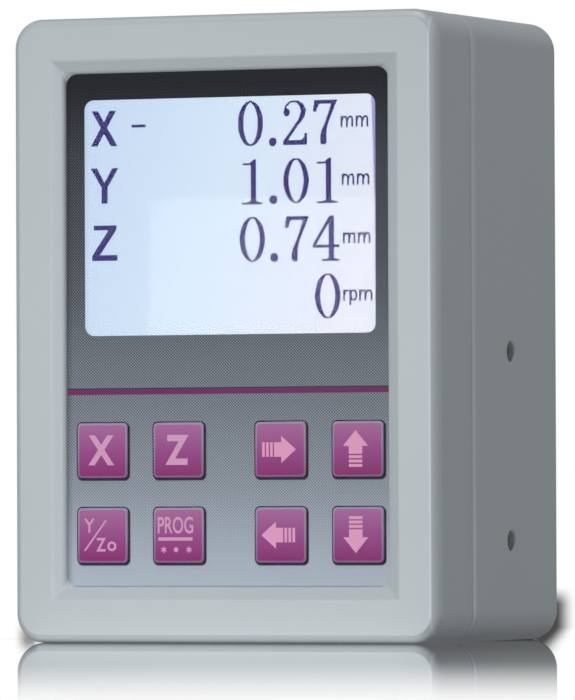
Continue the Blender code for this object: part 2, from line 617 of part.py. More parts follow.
def make_key_board():
    """Circuit board behind the keys, held by two screws."""
    margin = 2 * KEY_BOARD_MARGIN
    board = block_between("key_board", KEYPAD_WIDTH + margin, KEY_ROW_PITCH + KEY_SIZE + margin,
                          KEY_BOARD_FRONT, KEY_BOARD_FRONT + BOARD_THICKNESS, PANEL_SHIFT,
                          (LOWER_KEY_Z + UPPER_KEY_Z) / 2, "green_board")
    cut_screw_holes(board, "in_key_board", BOARD_SCREW_RADIUS + GAP, KEY_BOARD_FRONT - OVERRUN,
                    KEY_BOARD_FRONT + BOARD_THICKNESS + OVERRUN, KEY_BOARD_SCREWS)
    add_board_screws("key_board_screw_", LEVELS, KEY_BOARD_SCREWS,
                     KEY_BOARD_FRONT + BOARD_THICKNESS + GAP, FACING_REAR)


def add_board_screws(prefix, names, places, seat_depth, rotation):
    """Small screws whose heads sit at one depth."""
    for name, (x, z) in zip(names, places):
        make_screw(prefix + name, BOARD_SCREW_HEAD_RADIUS, BOARD_SCREW_HEAD, BOARD_SCREW_RADIUS,
                   BOARD_SCREW_LENGTH, (x, FRONT_Y + seat_depth, z), rotation)


# ---------------------------------------------------------------- screen module
def make_screen():
    """Clear lens, metal frame, liquid-crystal glass, light guide and driver board, front to back."""
    block_between("display_window", BEZEL_WIDTH, BEZEL_HEIGHT, POCKET_FLOOR, LENS_BACK, PANEL_SHIFT,
                  WINDOW_Z, "clear_lens")
    bezel = block_between("lcd_bezel", BEZEL_WIDTH, BEZEL_HEIGHT, BEZEL_FRONT, BEZEL_BACK, PANEL_SHIFT,
                          WINDOW_Z, "black_steel")
    inner_width = BEZEL_WIDTH - 2 * BEZEL_SHEET
    inner_height = BEZEL_HEIGHT - 2 * BEZEL_SHEET
    cut(bezel, tool_between("cut_bezel_inside", inner_width, inner_height, BEZEL_FRONT + BEZEL_SHEET,
                            BEZEL_BACK + OVERRUN, PANEL_SHIFT, WINDOW_Z))
    cut(bezel, tool_between("cut_bezel_window", WINDOW_WIDTH + 2 * BEZEL_LIP, WINDOW_HEIGHT + 2 * BEZEL_LIP,
                            BEZEL_FRONT - OVERRUN, BEZEL_FRONT + BEZEL_SHEET + OVERRUN, PANEL_SHIFT,
                            WINDOW_Z))
    block_between("lcd_glass", inner_width - 2 * GAP, inner_height - 2 * GAP, GLASS_FRONT,
                  GLASS_FRONT + GLASS_THICKNESS, PANEL_SHIFT, WINDOW_Z, "screen_glass")
    block_between("lcd_backlight", inner_width - 2 * GAP, inner_height - 2 * GAP, BACKLIGHT_FRONT,
                  BACKLIGHT_FRONT + BACKLIGHT_THICKNESS, PANEL_SHIFT, WINDOW_Z, "white_lightguide")
    board = block_between("lcd_board", BEZEL_WIDTH, SCREEN_BOARD_HEIGHT, SCREEN_BOARD_FRONT,
                          SCREEN_BOARD_FRONT + BOARD_THICKNESS, PANEL_SHIFT, WINDOW_Z, "green_board")
    cut_screw_holes(board, "in_lcd_board", BOARD_SCREW_RADIUS + GAP, SCREEN_BOARD_FRONT - OVERRUN,
                    SCREEN_BOARD_FRONT + BOARD_THICKNESS + OVERRUN, SCREEN_SCREWS)
    add_board_screws("lcd_screw_", CORNERS, SCREEN_SCREWS, SCREEN_BOARD_FRONT + BOARD_THICKNESS + GAP,
                     FACING_REAR)


# ---------------------------------------------------------------- main board, sockets and inserts
def make_sockets():
    """Four sensor sockets and the power socket, soldered to the main board, open to the rear."""
    shoulder = SOCKET_LENGTH - WALL
    floor = SOCKET_LENGTH - SOCKET_WELL_DEPTH
    profile = [(0, floor), (SOCKET_WELL_RADIUS, floor), (SOCKET_WELL_RADIUS, SOCKET_LENGTH),
               (SOCKET_NECK_RADIUS, SOCKET_LENGTH), (SOCKET_NECK_RADIUS, shoulder),
               (SOCKET_RADIUS, shoulder), (SOCKET_RADIUS, 0), (0, 0)]
    for name, (x, z) in zip(SOCKETS, SOCKET_PLACES):
        turned(name, profile, "black_plastic", (x, FRONT_Y + MAIN_BOARD_BACK + GAP, z), FACING_REAR,
               steps=SOCKET_SIDES)


def make_main_board():
    """Main circuit board on four posts of the rear shell, with its larger parts."""
    board = block_between("main_board", MAIN_BOARD_WIDTH, MAIN_BOARD_HEIGHT, MAIN_BOARD_FRONT,
                          MAIN_BOARD_BACK, 0, MAIN_BOARD_Z, "green_board")
    cut_screw_holes(board, "in_main_board", BOARD_SCREW_RADIUS + GAP, MAIN_BOARD_FRONT - OVERRUN,
                    MAIN_BOARD_BACK + OVERRUN, MAIN_SCREWS)
    add_board_screws("main_board_screw_", CORNERS, MAIN_SCREWS, MAIN_BOARD_FRONT - GAP, FACING_FRONT)
    seat = MAIN_BOARD_FRONT - GAP
    block_between("processor", CHIP_SIZE, CHIP_SIZE, seat - CHIP_THICKNESS, seat, 0, MAIN_BOARD_Z,
                  "black_plastic")
    side_x = MAIN_BOARD_WIDTH / 2 - SIDE_PARTS_INSET
    block_between("regulator", REGULATOR_WIDTH, REGULATOR_HEIGHT, seat - REGULATOR_THICKNESS, seat, -side_x,
                  MAIN_BOARD_Z, "black_plastic")
    length, middle = span(seat - CAPACITOR_LENGTH, seat)
    for level, level_name in enumerate(LEVELS):
        name = "capacitor_" + level_name
        place_part(name, rod_group(name, CAPACITOR_RADIUS, length, [(0, 0, 0)]), "blue_sleeve",
                   (side_x, middle, MAIN_BOARD_Z + level * CAPACITOR_PITCH))


def make_ribbon(name, width, x, start, end):
    """Flat cable of one bend each way between a board and its header; start and end are (depth, z)."""
    outline = []
    for side in (1, -1):
        steps = range(RIBBON_STEPS + 1) if side > 0 else range(RIBBON_STEPS, -1, -1)
        for step in steps:
            share = step / RIBBON_STEPS
            rise = end[1] - start[1]
            run = end[0] - start[0]
            ease = share * share * (3 - 2 * share)
            slope = math.atan2(rise * 6 * share * (1 - share), run)
            depth = start[0] + run * share - side * RIBBON_THICKNESS / 2 * math.sin(slope)
            height = start[1] + rise * ease + side * RIBBON_THICKNESS / 2 * math.cos(slope)
            outline.append((height, depth))
    curve = bpy.data.curves.new(name, "CURVE")
    curve.dimensions = "2D"
    curve.fill_mode = "BOTH"
    curve.extrude = width / 2
    spline = curve.splines.new("POLY")
    spline.points.add(len(outline) - 1)
    for point, (height, depth) in zip(spline.points, outline):
        point.co = (-height, FRONT_Y + depth, 0.0, 1.0)
    spline.use_cyclic_u = True
    return place_part(name, curve, "grey_ribbon", (x, 0, 0), (0.0, math.pi / 2, 0.0))


def make_cables():
    """Two ribbon cables, each from a front board's back to a header on the main board."""
    header_front = MAIN_BOARD_FRONT - GAP - HEADER_DEPTH
    screen_start = (SCREEN_BOARD_FRONT + BOARD_THICKNESS + GAP,
                    WINDOW_Z - SCREEN_BOARD_HEIGHT / 2 + SCREEN_BOARD_TAB)
    screen_end = (header_front - GAP, MAIN_BOARD_BOTTOM + MAIN_BOARD_HEIGHT - SCREEN_HEADER_INSET)
    key_start = (KEY_BOARD_FRONT + BOARD_THICKNESS + GAP, UPPER_KEY_Z)
    key_end = (header_front - GAP, MAIN_BOARD_Z - KEY_HEADER_DROP)
    key_x = PANEL_SHIFT + KEY_CENTRE_PITCH / 2
    for name, width, x, start, end in (
            ("lcd", SCREEN_RIBBON_WIDTH, 0.0, screen_start, screen_end),
            ("key", KEY_RIBBON_WIDTH, key_x, key_start, key_end)):
        make_ribbon(name + "_ribbon", width, x, start, end)
        block_between(name + "_header", width + 2 * HEADER_MARGIN, HEADER_HEIGHT, header_front,
                      MAIN_BOARD_FRONT - GAP, x, end[1], "white_plastic")


def make_inserts():
    """Threaded brass sleeves sunk in the side walls, two on each side."""
    profile = [(INSERT_BORE_RADIUS, INSERT_LENGTH), (INSERT_RADIUS, INSERT_LENGTH), (INSERT_RADIUS, 0),
               (INSERT_BORE_RADIUS, 0)]
    inner_end = CASE_WIDTH / 2 - INSERT_SUNK - INSERT_LENGTH
    names = [f"side_insert_{side}_{level}" for side in ("left", "right") for level in LEVELS]
    for name, (side, z) in zip(names, INSERT_PLACES):
        turned(name, profile, "brass", (side * inner_end, FRONT_Y + INSERT_DEPTH, z),
               (0.0, side * math.pi / 2, 0.0), ring=True)


# ---------------------------------------------------------------- assembly
clear_scene()
PARTS = make_collection("digital_readout_unit")
TOOLS = make_collection("cutting_tools")
UNIT = bpy.data.objects.new("unit", None)
PARTS.objects.link(UNIT)

make_front_shell()
make_rear_shell()
make_seal()
make_case_screws()
make_foil()
make_keys()
make_key_board()
make_screen()
make_main_board()
make_sockets()
make_cables()
make_inserts()
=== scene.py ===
"""Looks of a digital read-out display unit: moulded grey case, printed foil, lit screen and eight keys.

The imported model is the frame.  Lengths are in metres, +Z is up and the front face looks towards -Y.  A
"depth" is a distance behind the front face of the case, and an "inset" one inwards from its outer side.
"""

import logging
import math
from dataclasses import dataclass
from enum import Enum
from functools import lru_cache, reduce
from typing import Callable, Iterable, Sequence

import bmesh
import bpy
import numpy as np
from mathutils import Matrix, Vector
from mathutils.geometry import delaunay_2d_cdt


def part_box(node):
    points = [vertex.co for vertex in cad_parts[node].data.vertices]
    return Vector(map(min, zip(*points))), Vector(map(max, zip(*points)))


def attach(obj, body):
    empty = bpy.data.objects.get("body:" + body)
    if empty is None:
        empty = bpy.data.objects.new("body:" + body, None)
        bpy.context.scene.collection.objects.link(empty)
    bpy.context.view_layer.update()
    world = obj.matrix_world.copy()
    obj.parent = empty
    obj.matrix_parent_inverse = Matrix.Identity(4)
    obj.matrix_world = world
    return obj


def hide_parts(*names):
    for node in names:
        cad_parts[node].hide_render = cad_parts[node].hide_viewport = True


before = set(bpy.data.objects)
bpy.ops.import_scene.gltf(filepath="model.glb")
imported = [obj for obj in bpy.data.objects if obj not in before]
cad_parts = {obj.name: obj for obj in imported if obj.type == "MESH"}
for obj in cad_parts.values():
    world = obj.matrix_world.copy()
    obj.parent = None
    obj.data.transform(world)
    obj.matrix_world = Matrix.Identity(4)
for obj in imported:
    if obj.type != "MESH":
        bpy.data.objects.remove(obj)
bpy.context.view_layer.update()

LOG = logging.getLogger("display_unit")
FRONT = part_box("front_shell")[0].y
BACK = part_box("rear_shell")[1].y
CASE_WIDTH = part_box("rear_shell")[1].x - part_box("rear_shell")[0].x
CASE_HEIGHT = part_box("rear_shell")[1].z
CASE_DEPTH = BACK - FRONT
MIDDLE_Z = CASE_HEIGHT / 2
CRISP_ANGLE = 32

Colour = tuple[float, float, float, float]
Place = tuple[float, float]
Span = tuple[float, float]
Box = tuple[float, float, float, float]
WHITE: Colour = (1.0, 1.0, 1.0, 1.0)


# ---------------------------------------------------------------- numbers and colours
def srgb(red: float, green: float, blue: float) -> Colour:
    """Turn three screen values into a linear colour.

    Args:
        red: Screen value from 0 to 255, like green and blue.
        green: See red.
        blue: See red.

    Returns:
        The linear red, green and blue, and a full alpha.
    """
    screen = np.array([red, green, blue]) / 255
    linear = np.where(screen <= 0.04045, screen / 12.92, ((screen + 0.055) / 1.055) ** 2.4)
    return (*(float(value) for value in linear), 1.0)


def dimmed(colour: Colour, share: float) -> Colour:
    """Give a share of a colour's light."""
    return (colour[0] * share, colour[1] * share, colour[2] * share, 1.0)


def arc(centre: Place, radius: float, start: float, end: float, steps: int) -> np.ndarray:
    """Give points on a circle: centre + radius times (cosine, sine) of equal angles.

    Args:
        centre: Centre of the circle.
        radius: Its radius.
        start: First angle in degrees.
        end: Last angle in degrees.
        steps: Number of chords.

    Returns:
        Array of (steps + 1, 2).
    """
    angles = np.radians(np.linspace(start, end, steps + 1))
    return np.array(centre) + radius * np.stack([np.cos(angles), np.sin(angles)], axis=1)


# ---------------------------------------------------------------- shapes
@dataclass
class Shape:
    """A mesh as whole arrays: points of (n, 3) and face tables of (m, corners)."""

    points: np.ndarray
    faces: list[np.ndarray]

    def __add__(self, other: "Shape") -> "Shape":
        """Put two shapes in one, unjoined."""
        shift = len(self.points)
        return Shape(np.vstack([self.points, other.points]),
                     self.faces + [table + shift for table in other.faces])

    def volume(self) -> float:
        """Give the signed volume: a sixth of the sum of p0 . (p1 x p2) over every face's fan of triangles."""
        total = 0.0
        for table in self.faces:
            for step in range(1, table.shape[1] - 1):
                first, second, third = (self.points[table[:, at]] for at in (0, step, step + 1))
                total += float(np.einsum("ij,ij->", first, np.cross(second, third)))
        return total / 6

    def outward(self) -> "Shape":
        """Turn every face round if the closed shape is inside out."""
        if self.volume() < 0:
            self.faces = [table[:, ::-1] for table in self.faces]
        return self

    def moved(self, x: float, z: float) -> "Shape":
        """Give the shape at another place."""
        return Shape(self.points + np.array([x, 0.0, z]), self.faces)

    def mesh(self, name: str) -> bpy.types.Mesh:
        """Put the arrays into a mesh and close its seams and poles.

        Args:
            name: Name of the mesh.

        Returns:
            The mesh, with points that coincide merged.
        """
        mesh = bpy.data.meshes.new(name)
        mesh.from_pydata(self.points.tolist(), [], [row for table in self.faces for row in table.tolist()])
        welded = bmesh.new()
        welded.from_mesh(mesh)
        bmesh.ops.remove_doubles(welded, verts=welded.verts, dist=2e-6)
        welded.to_mesh(mesh)
        welded.free()
        return mesh


def skin(grid: np.ndarray, round_path: bool = False, caps: bool = False) -> Shape:
    """Cover a grid of rings with four-cornered faces.

    Face (i, j) joins points j and j + 1 of ring i with those of ring i + 1.  Every ring closes on itself.

    Args:
        grid: Points as (rings, points in a ring, 3).
        round_path: Joins the last ring to the first one.
        caps: Closes the first and the last ring with a flat face each.

    Returns:
        The closed or open surface, facing outwards where it is closed.
    """
    rings, count = grid.shape[:2]
    ring = np.arange(rings if round_path else rings - 1)[:, None]
    point = np.arange(count)[None, :]
    following = (ring + 1) % rings
    beside = (point + 1) % count
    corners = [ring * count + point, following * count + point, following * count + beside,
               ring * count + beside]
    faces = [np.stack(np.broadcast_arrays(*corners), axis=-1).reshape(-1, 4)]
    if caps:
        ends = np.arange(count)
        faces += [ends[None, :], (rings - 1) * count + ends[None, ::-1]]
    shape = Shape(grid.reshape(-1, 3), faces)
    return shape.outward() if round_path or caps else shape


def rounded_rings(widths: np.ndarray, heights: np.ndarray, radii: np.ndarray, steps: int) -> np.ndarray:
    """Give rectangles with round corners, all with the same number of points.

    Corner c of ring k has its centre at (width / 2 - radius, height / 2 - radius), turned by c right
    angles, and its points stand at the radius from it.

    Args:
        widths: Width of each ring.
        heights: Height of each ring.
        radii: Corner radius of each ring.
        steps: Chords in one corner.

    Returns:
        Array of (rings, 4 * (steps + 1), 2), counter-clockwise.
    """
    quarter = np.radians(np.linspace(0, 90, steps + 1))
    angles = (np.arange(4)[:, None] * np.pi / 2 + quarter[None, :]).ravel()
    side_x = np.repeat([1, -1, -1, 1], steps + 1)
    side_z = np.repeat([1, 1, -1, -1], steps + 1)
    x = side_x * (widths[:, None] / 2 - radii[:, None]) + radii[:, None] * np.cos(angles)
    z = side_z * (heights[:, None] / 2 - radii[:, None]) + radii[:, None] * np.sin(angles)
    return np.stack([x, z], axis=-1)


def carried_round(path: np.ndarray, width: float, height: float, centre: Place, steps: int) -> np.ndarray:
    """Carry a profile round a rectangle with round corners.

    Ring k is the rectangle of width - 2 * inset by height - 2 * inset at the profile's depth.

    Args:
        path: Profile as rows of (inset, depth, corner radius).
        width: Width at no inset.
        height: Height at no inset.
        centre: Middle of the rectangle, as (x, z).
        steps: Chords in one corner.

    Returns:
        Grid of points as (rings, points in a ring, 3).
    """
    flat = rounded_rings(width - 2 * path[:, 0], height - 2 * path[:, 0], path[:, 2], steps)
    depth = np.broadcast_to(FRONT + path[:, 1][:, None], flat.shape[:2])
    return np.stack([flat[..., 0] + centre[0], depth, flat[..., 1] + centre[1]], axis=-1)


def turned(profile: Sequence[Place], place: Place, sides: int, axis: str = "Y", ring: bool = False) -> Shape:
    """Turn a profile about an axis.

    Point (k, j) stands at the profile's radius from the axis, at angle 2 pi j / sides, and at the
    profile's distance along the axis.

    Args:
        profile: Rows of (radius, distance along the axis).
        place: Where the axis stands: (x, z) for the axis "Y" and (y, z) for "X".
        sides: Number of faces round the axis.
        axis: "X" or "Y".
        ring: Joins the profile's end to its start; any other profile starts and ends on the axis.

    Returns:
        The closed shape.
    """
    rows = np.array(profile, float)
    angles = np.linspace(0, 2 * np.pi, sides, endpoint=False)
    across = rows[:, :1] * np.cos(angles) + place[0]
    up = rows[:, :1] * np.sin(angles) + place[1]
    along = np.broadcast_to(rows[:, 1:], across.shape)
    order = (across, along, up) if axis == "Y" else (along, across, up)
    return skin(np.stack(order, axis=-1), round_path=ring).outward()


def filled(loops: Sequence[np.ndarray]) -> np.ndarray:
    """Fill a flat outline with holes.

    The loops' points are joined to triangles that keep every loop's edges.  A triangle stays where a line
    from its middle to the right crosses an odd number of the loops' edges.

    Args:
        loops: The outline and its holes, each as (n, 2).

    Returns:
        Triangles as (m, 3), counter-clockwise, that count through the loops' points in order.
    """
    flat = np.vstack(loops) * 1000
    sizes = [len(loop) for loop in loops]
    starts = np.cumsum([0, *sizes[:-1]])
    here = np.arange(len(flat))
    beside = np.concatenate([start + (np.arange(size) + 1) % size for start, size in zip(starts, sizes)])
    found = delaunay_2d_cdt([Vector(row) for row in flat.tolist()], list(zip(here.tolist(), beside.tolist())),
                            [], 0, 1e-7)
    triangles = np.array([[found[3][corner][0] for corner in face] for face in found[2]])
    middle = flat[triangles].mean(axis=1)[:, None, :]
    start, end = flat[here], flat[beside]
    rise = np.where(start[:, 1] == end[:, 1], 1.0, end[:, 1] - start[:, 1])
    crossed = (start[:, 1] > middle[..., 1]) != (end[:, 1] > middle[..., 1])
    share = (middle[..., 1] - start[:, 1]) / rise
    right = middle[..., 0] < start[:, 0] + share * (end[:, 0] - start[:, 0])
    triangles = triangles[(crossed & right).sum(axis=1) % 2 == 1]
    first, second, third = (flat[triangles[:, at]] for at in range(3))
    area = (second - first)[:, 0] * (third - first)[:, 1] - (second - first)[:, 1] * (third - first)[:, 0]
    triangles[area < 0] = triangles[area < 0][:, ::-1]
    return triangles


def turned_loop(loop: np.ndarray, counter_clockwise: bool) -> np.ndarray:
    """Give a loop in the asked sense of rotation."""
    following = np.roll(loop, -1, axis=0)
    area = float(np.sum(loop[:, 0] * following[:, 1] - following[:, 0] * loop[:, 1]))
    return loop if (area > 0) == counter_clockwise else loop[::-1]


def slab(outline: np.ndarray, holes: Sequence[np.ndarray], front: float, back: float,
         rear_outline: np.ndarray | None = None) -> Shape:
    """Give a flat plate with holes between two depths.

    Args:
        outline: Outer edge as (n, 2).
        holes: Edges of the holes.
        front: Depth of the front face.
        back: Depth of the rear face.
        rear_outline: The rear face's own outer edge, for a plate that ends a shell and has no outer wall.

    Returns:
        The plate, with its faces outwards.
    """
    edges = (outline, outline if rear_outline is None else rear_outline)
    sides = [turned_loop(hole, False) for hole in holes]
    layers = [[turned_loop(edge, True), *sides] for edge in edges]
    flats = [np.vstack(loops) for loops in layers]
    points = [np.column_stack([flat[:, 0], np.full(len(flat), FRONT + depth), flat[:, 1]])
              for flat, depth in zip(flats, (front, back))]
    near, far = 0, len(flats[0])
    faces = [filled(layers[0]), filled(layers[1])[:, ::-1] + far]
    for loop, rear_loop in zip(*layers):
        here = np.arange(len(loop))
        beside = (here + 1) % len(loop)
        if near or rear_outline is None:
            faces.append(np.column_stack([near + here, far + here, far + beside, near + beside]))
        near += len(loop)
        far += len(rear_loop)
    return Shape(np.vstack(points), faces)


def rounded_loop(width: float, height: float, radius: float, centre: Place, steps: int = 8) -> np.ndarray:
    """Give one rectangle with round corners as a flat loop."""
    sizes = (np.array([size]) for size in (width, height, radius))
    return rounded_rings(*sizes, steps)[0] + np.array(centre)


def circle(radius: float, centre: Place, sides: int) -> np.ndarray:
    """Give a circle as a flat loop."""
    return arc(centre, radius, 0, 360, sides)[:-1]


def together(shapes: Iterable[Shape]) -> Shape:
    """Put several shapes in one, unjoined."""
    return reduce(Shape.__add__, shapes)


# ---------------------------------------------------------------- the frame and the scene
def middle_of(node: str, plane: str = "xz") -> Place:
    """Give the middle of a CAD node in a plane."""
    return tuple((getattr(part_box(node)[0], axis) + getattr(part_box(node)[1], axis)) / 2 for axis in plane)


def depth_of(node: str, end: int = 0) -> float:
    """Give how deep a CAD node's front face lies behind the case's, or its rear one where end is 1."""
    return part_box(node)[end].y - FRONT


def linked(name: str, data: bpy.types.ID) -> bpy.types.Object:
    """Make an object and put it in the scene."""
    made = bpy.data.objects.new(name, data)
    bpy.context.scene.collection.objects.link(made)
    return made


def blank_material(name: str) -> tuple[bpy.types.Material, "Graph"]:
    """Make a material with an empty graph."""
    material = bpy.data.materials.new(name)
    material.use_nodes = True
    return material, Graph(material.node_tree, "ShaderNodeOutputMaterial")


def points_of(mesh: bpy.types.Mesh) -> np.ndarray:
    """Give a mesh's points as (n, 3)."""
    points = np.empty(len(mesh.vertices) * 3)
    mesh.vertices.foreach_get("co", points)
    return points.reshape(-1, 3)


def shape_of(mesh: bpy.types.Mesh) -> Shape:
    """Read a mesh back into arrays.

    Args:
        mesh: Any mesh.

    Returns:
        Its points, and its faces sorted by their number of corners.
    """
    rows = [tuple(face.vertices) for face in mesh.polygons]
    tables = [np.array([row for row in rows if len(row) == size]) for size in sorted(set(map(len, rows)))]
    return Shape(points_of(mesh), tables)


# ---------------------------------------------------------------- material toolkit
def joining(operation: str, reflected: bool = False) -> Callable[["Signal", "Value"], "Signal"]:
    """Make a method of Signal that joins it with another value.

    Args:
        operation: The Math node's operation.
        reflected: Puts the other value first, as 1 - mask needs it.

    Returns:
        The method.
    """
    def method(self: "Signal", other: "Value") -> "Signal":
        """Add the Math node."""
        return self.step(operation, *((other, self) if reflected else (self, other)))
    return method


def changing(operation: str) -> Callable[["Signal"], "Signal"]:
    """Make a method of Signal that changes it alone, by this operation of the Math node."""
    def method(self: "Signal") -> "Signal":
        """Add the Math node."""
        return self.step(operation, self)
    return method


class Signal:
    """A value that flows through a material; Python's operators on it add Math nodes."""

    def __init__(self, graph: "Graph", socket: bpy.types.NodeSocket) -> None:
        """Wrap one output socket of a graph."""
        self.graph = graph
        self.socket = socket

    def step(self, operation: str, *values: "Value", clamp: bool = False) -> "Signal":
        """Add one Math node with these values as its inputs."""
        settings = {"operation": operation, "use_clamp": clamp}
        return self.graph.node("ShaderNodeMath", settings, dict(enumerate(values)))

    # The operators that the finishes use; above gives the greater of two values and below the lesser.
    __add__, __radd__ = joining("ADD"), joining("ADD", reflected=True)
    __sub__, __rsub__ = joining("SUBTRACT"), joining("SUBTRACT", reflected=True)
    __mul__, __rmul__ = joining("MULTIPLY"), joining("MULTIPLY", reflected=True)
    __truediv__, __pow__ = joining("DIVIDE"), joining("POWER")
    __lt__, __gt__ = joining("LESS_THAN"), joining("GREATER_THAN")
    above, below = joining("MAXIMUM"), joining("MINIMUM")
    __abs__, root = changing("ABSOLUTE"), changing("SQRT")
    fraction, floor, cosine = changing("FRACT"), changing("FLOOR"), changing("COSINE")

    def clamped(self) -> "Signal":
        """Give self, held between 0 and 1."""
        return self.step("MULTIPLY", self, 1.0, clamp=True)

    def ease(self, low: float, high: float) -> "Signal":
        """Give 0 at low and 1 at high, with a smooth run between them."""
        return self.graph.node("ShaderNodeMapRange", {"interpolation_type": "SMOOTHSTEP"},
                               {"Value": self, "From Min": low, "From Max": high})


Value = float | Signal


class Graph:
    """The nodes of one material or of the world."""

    def __init__(self, tree: bpy.types.NodeTree, output: str) -> None:
        """Empty the tree and give it its output node."""
        self.tree = tree
        tree.nodes.clear()
        self.output = tree.nodes.new(output)

    def node(self, kind: str, settings: dict | None = None, inputs: dict | None = None,
             result: int | str = 0) -> Signal:
        """Add one node.

        Args:
            kind: Type of the node.
            settings: Its properties, which are set first; "stops" holds a ramp's (place, colour) pairs.
            inputs: Values or signals of its sockets, by name or number.
            result: The output that is wanted.

        Returns:
            That output as a signal.
        """
        made = self.tree.nodes.new(kind)
        for key, value in (settings or {}).items():
            if key == "stops":
                self.set_stops(made.color_ramp, value)
            else:
                setattr(made, key, value)
        for key, value in (inputs or {}).items():
            if isinstance(value, Signal):
                self.tree.links.new(value.socket, made.inputs[key])
            else:
                made.inputs[key].default_value = value
        return Signal(self, made.outputs[result])

    @staticmethod
    def set_stops(ramp: bpy.types.ColorRamp, stops: Sequence[tuple[float, Colour]]) -> None:
        """Give a ramp its stops, from low to high."""
        while len(ramp.elements) > 1:
            ramp.elements.remove(ramp.elements[-1])
        ramp.elements[0].position, ramp.elements[0].color = stops[0]
        for place, colour in stops[1:]:
            ramp.elements.new(place).color = colour

    def finish(self, surface: Signal) -> None:
        """Lead a shader to the output."""
        self.tree.links.new(surface.socket, self.output.inputs["Surface"])

    def place(self, result: str = "Object") -> Signal:
        """Give the place on the object, or another texture coordinate."""
        return self.node("ShaderNodeTexCoord", result=result)

    def parts(self, vector: Signal) -> tuple[Signal, Signal, Signal]:
        """Split a vector into its three numbers."""
        split = self.node("ShaderNodeSeparateXYZ", inputs={0: vector})
        return tuple(Signal(self, socket) for socket in split.socket.node.outputs)

    def joined(self, x: Value, y: Value, z: Value) -> Signal:
        """Make a vector of three numbers."""
        return self.node("ShaderNodeCombineXYZ", inputs={0: x, 1: y, 2: z})

    def mix(self, factor: Value, first: Colour | Signal, second: Colour | Signal) -> Signal:
        """Give the first colour where factor is 0 and the second where it is 1."""
        return self.node("ShaderNodeMix", {"data_type": "RGBA"}, {0: factor, 6: first, 7: second}, result=2)

    def layers(self, colour: Colour | Signal, *films: tuple[Value, Colour]) -> Colour | Signal:
        """Lay films over a colour one after the other, each as (cover, colour)."""
        for cover, film in films:
            colour = self.mix(cover, colour, film)
        return colour

    def ramp(self, factor: Signal, stops: Sequence[tuple[float, Colour]]) -> Signal:
        """Give a colour from a row of stops."""
        return self.node("ShaderNodeValToRGB", {"stops": stops}, {0: factor})

    def noise(self, place: Signal, size: float, detail: float = 2.0, roughness: float = 0.5) -> Signal:
        """Give soft noise between 0 and 1 whose lumps are about size metres across."""
        return self.node("ShaderNodeTexNoise", inputs={"Vector": place, "Scale": 1 / size, "Detail": detail,
                                                       "Roughness": roughness})

    def speckle(self, place: Signal) -> Signal:
        """Give one random number between 0 and 1 for each different place."""
        return self.node("ShaderNodeTexWhiteNoise", inputs={"Vector": place})

    def emission(self, strength: Value) -> Signal:
        """Give a shader that only glows, in white."""
        return self.node("ShaderNodeEmission", inputs={"Color": WHITE, "Strength": strength})

    def axes(self) -> tuple[Signal, Signal, Signal, Signal]:
        """Give the place on the object, and its x, y and z."""
        place = self.place()
        return (place, *self.parts(place))

    def coat(self, colour: Colour | Signal, roughness: Value, height: Signal | None = None,
             rise: float = 0.0, **others: Colour | Value) -> None:
        """Lead a Principled shader to the output.

        Args:
            colour: Its base colour.
            roughness: Its roughness.
            height: Heights between 0 and 1 of the fine relief, where it has any.
            rise: Metres between the heights 0 and 1.
            others: Its other values by socket name, with _ for each space.
        """
        inputs = {"Base Color": colour, "Roughness": roughness}
        if height:
            relief = {"Height": height, "Distance": rise, "Strength": 1.0}
            inputs["Normal"] = self.node("ShaderNodeBump", inputs=relief)
        inputs.update({key.replace("_", " "): value for key, value in others.items()})
        self.finish(self.node("ShaderNodeBsdfPrincipled", inputs=inputs))


def rounded_box_distance(x: Signal, z: Signal, half: float, radius: float) -> Signal:
    """Give how far a place is outside a square with round corners.

    With p = |x| - (half - radius) and q = |z| - (half - radius), it is the length of (p, q) held above 0,
    plus the greater of p and q held below 0, less the radius.
    """
    across = abs(x) - (half - radius)
    up = abs(z) - (half - radius)
    outside = (across.above(0.0) ** 2 + up.above(0.0) ** 2).root()
    return outside + across.above(up).below(0.0) - radius


def raster_gap(x: Signal, z: Signal, pitch: float, start: float, steepness: float) -> Signal:
    """Give 1 in the gaps of a raster of squares: steepness * (a place's way from the middle - start)."""
    column = abs((x / pitch).fraction() - 0.5)
    row = abs((z / pitch).fraction() - 0.5)
    return ((column.above(row) - start) * steepness).clamped()


@dataclass(frozen=True)
class Finish:
    """A procedural surface; every kind of it says how it is painted."""

    name: str

    def paint(self, graph: Graph) -> None:
        """Add the finish's nodes to an empty graph."""
        raise NotImplementedError(self.name)


@lru_cache(maxsize=None)
def material_of(finish: Finish) -> bpy.types.Material:
    """Give the material of a finish, made at its first use."""
    material, graph = blank_material(finish.name)
    finish.paint(graph)
    return material


# ---------------------------------------------------------------- finishes
@dataclass(frozen=True)
class MouldedPlastic(Finish):
    """Semi-matt moulded plastic with a fine spark-eroded grain and a faint cloudiness."""

    colour: Colour
    shade: float = 0.94
    cloud: float = 0.03
    grain: float = 0.00032
    rise: float = 0.000012
    roughness: float = 0.42
    index: float = 1.5

    def moulded(self, graph: Graph) -> tuple[Signal, Signal]:
        """Give the clouded colour and the grain."""
        place = graph.place()
        grain = graph.noise(place, self.grain, 2.0)
        cloud = 0.6 * graph.noise(place, self.cloud, 4.0) + 0.25 * grain
        return graph.mix(cloud, self.colour, dimmed(self.colour, self.shade)), grain

    def cover(self, graph: Graph, colour: Signal, grain: Signal) -> None:
        """Lay a colour on, vary the roughness and raise the grain."""
        graph.coat(colour, self.roughness - 0.06 + 0.12 * grain, grain, self.rise, IOR=self.index)

    def paint(self, graph: Graph) -> None:
        """Paint the plain plastic."""
        self.cover(graph, *self.moulded(graph))


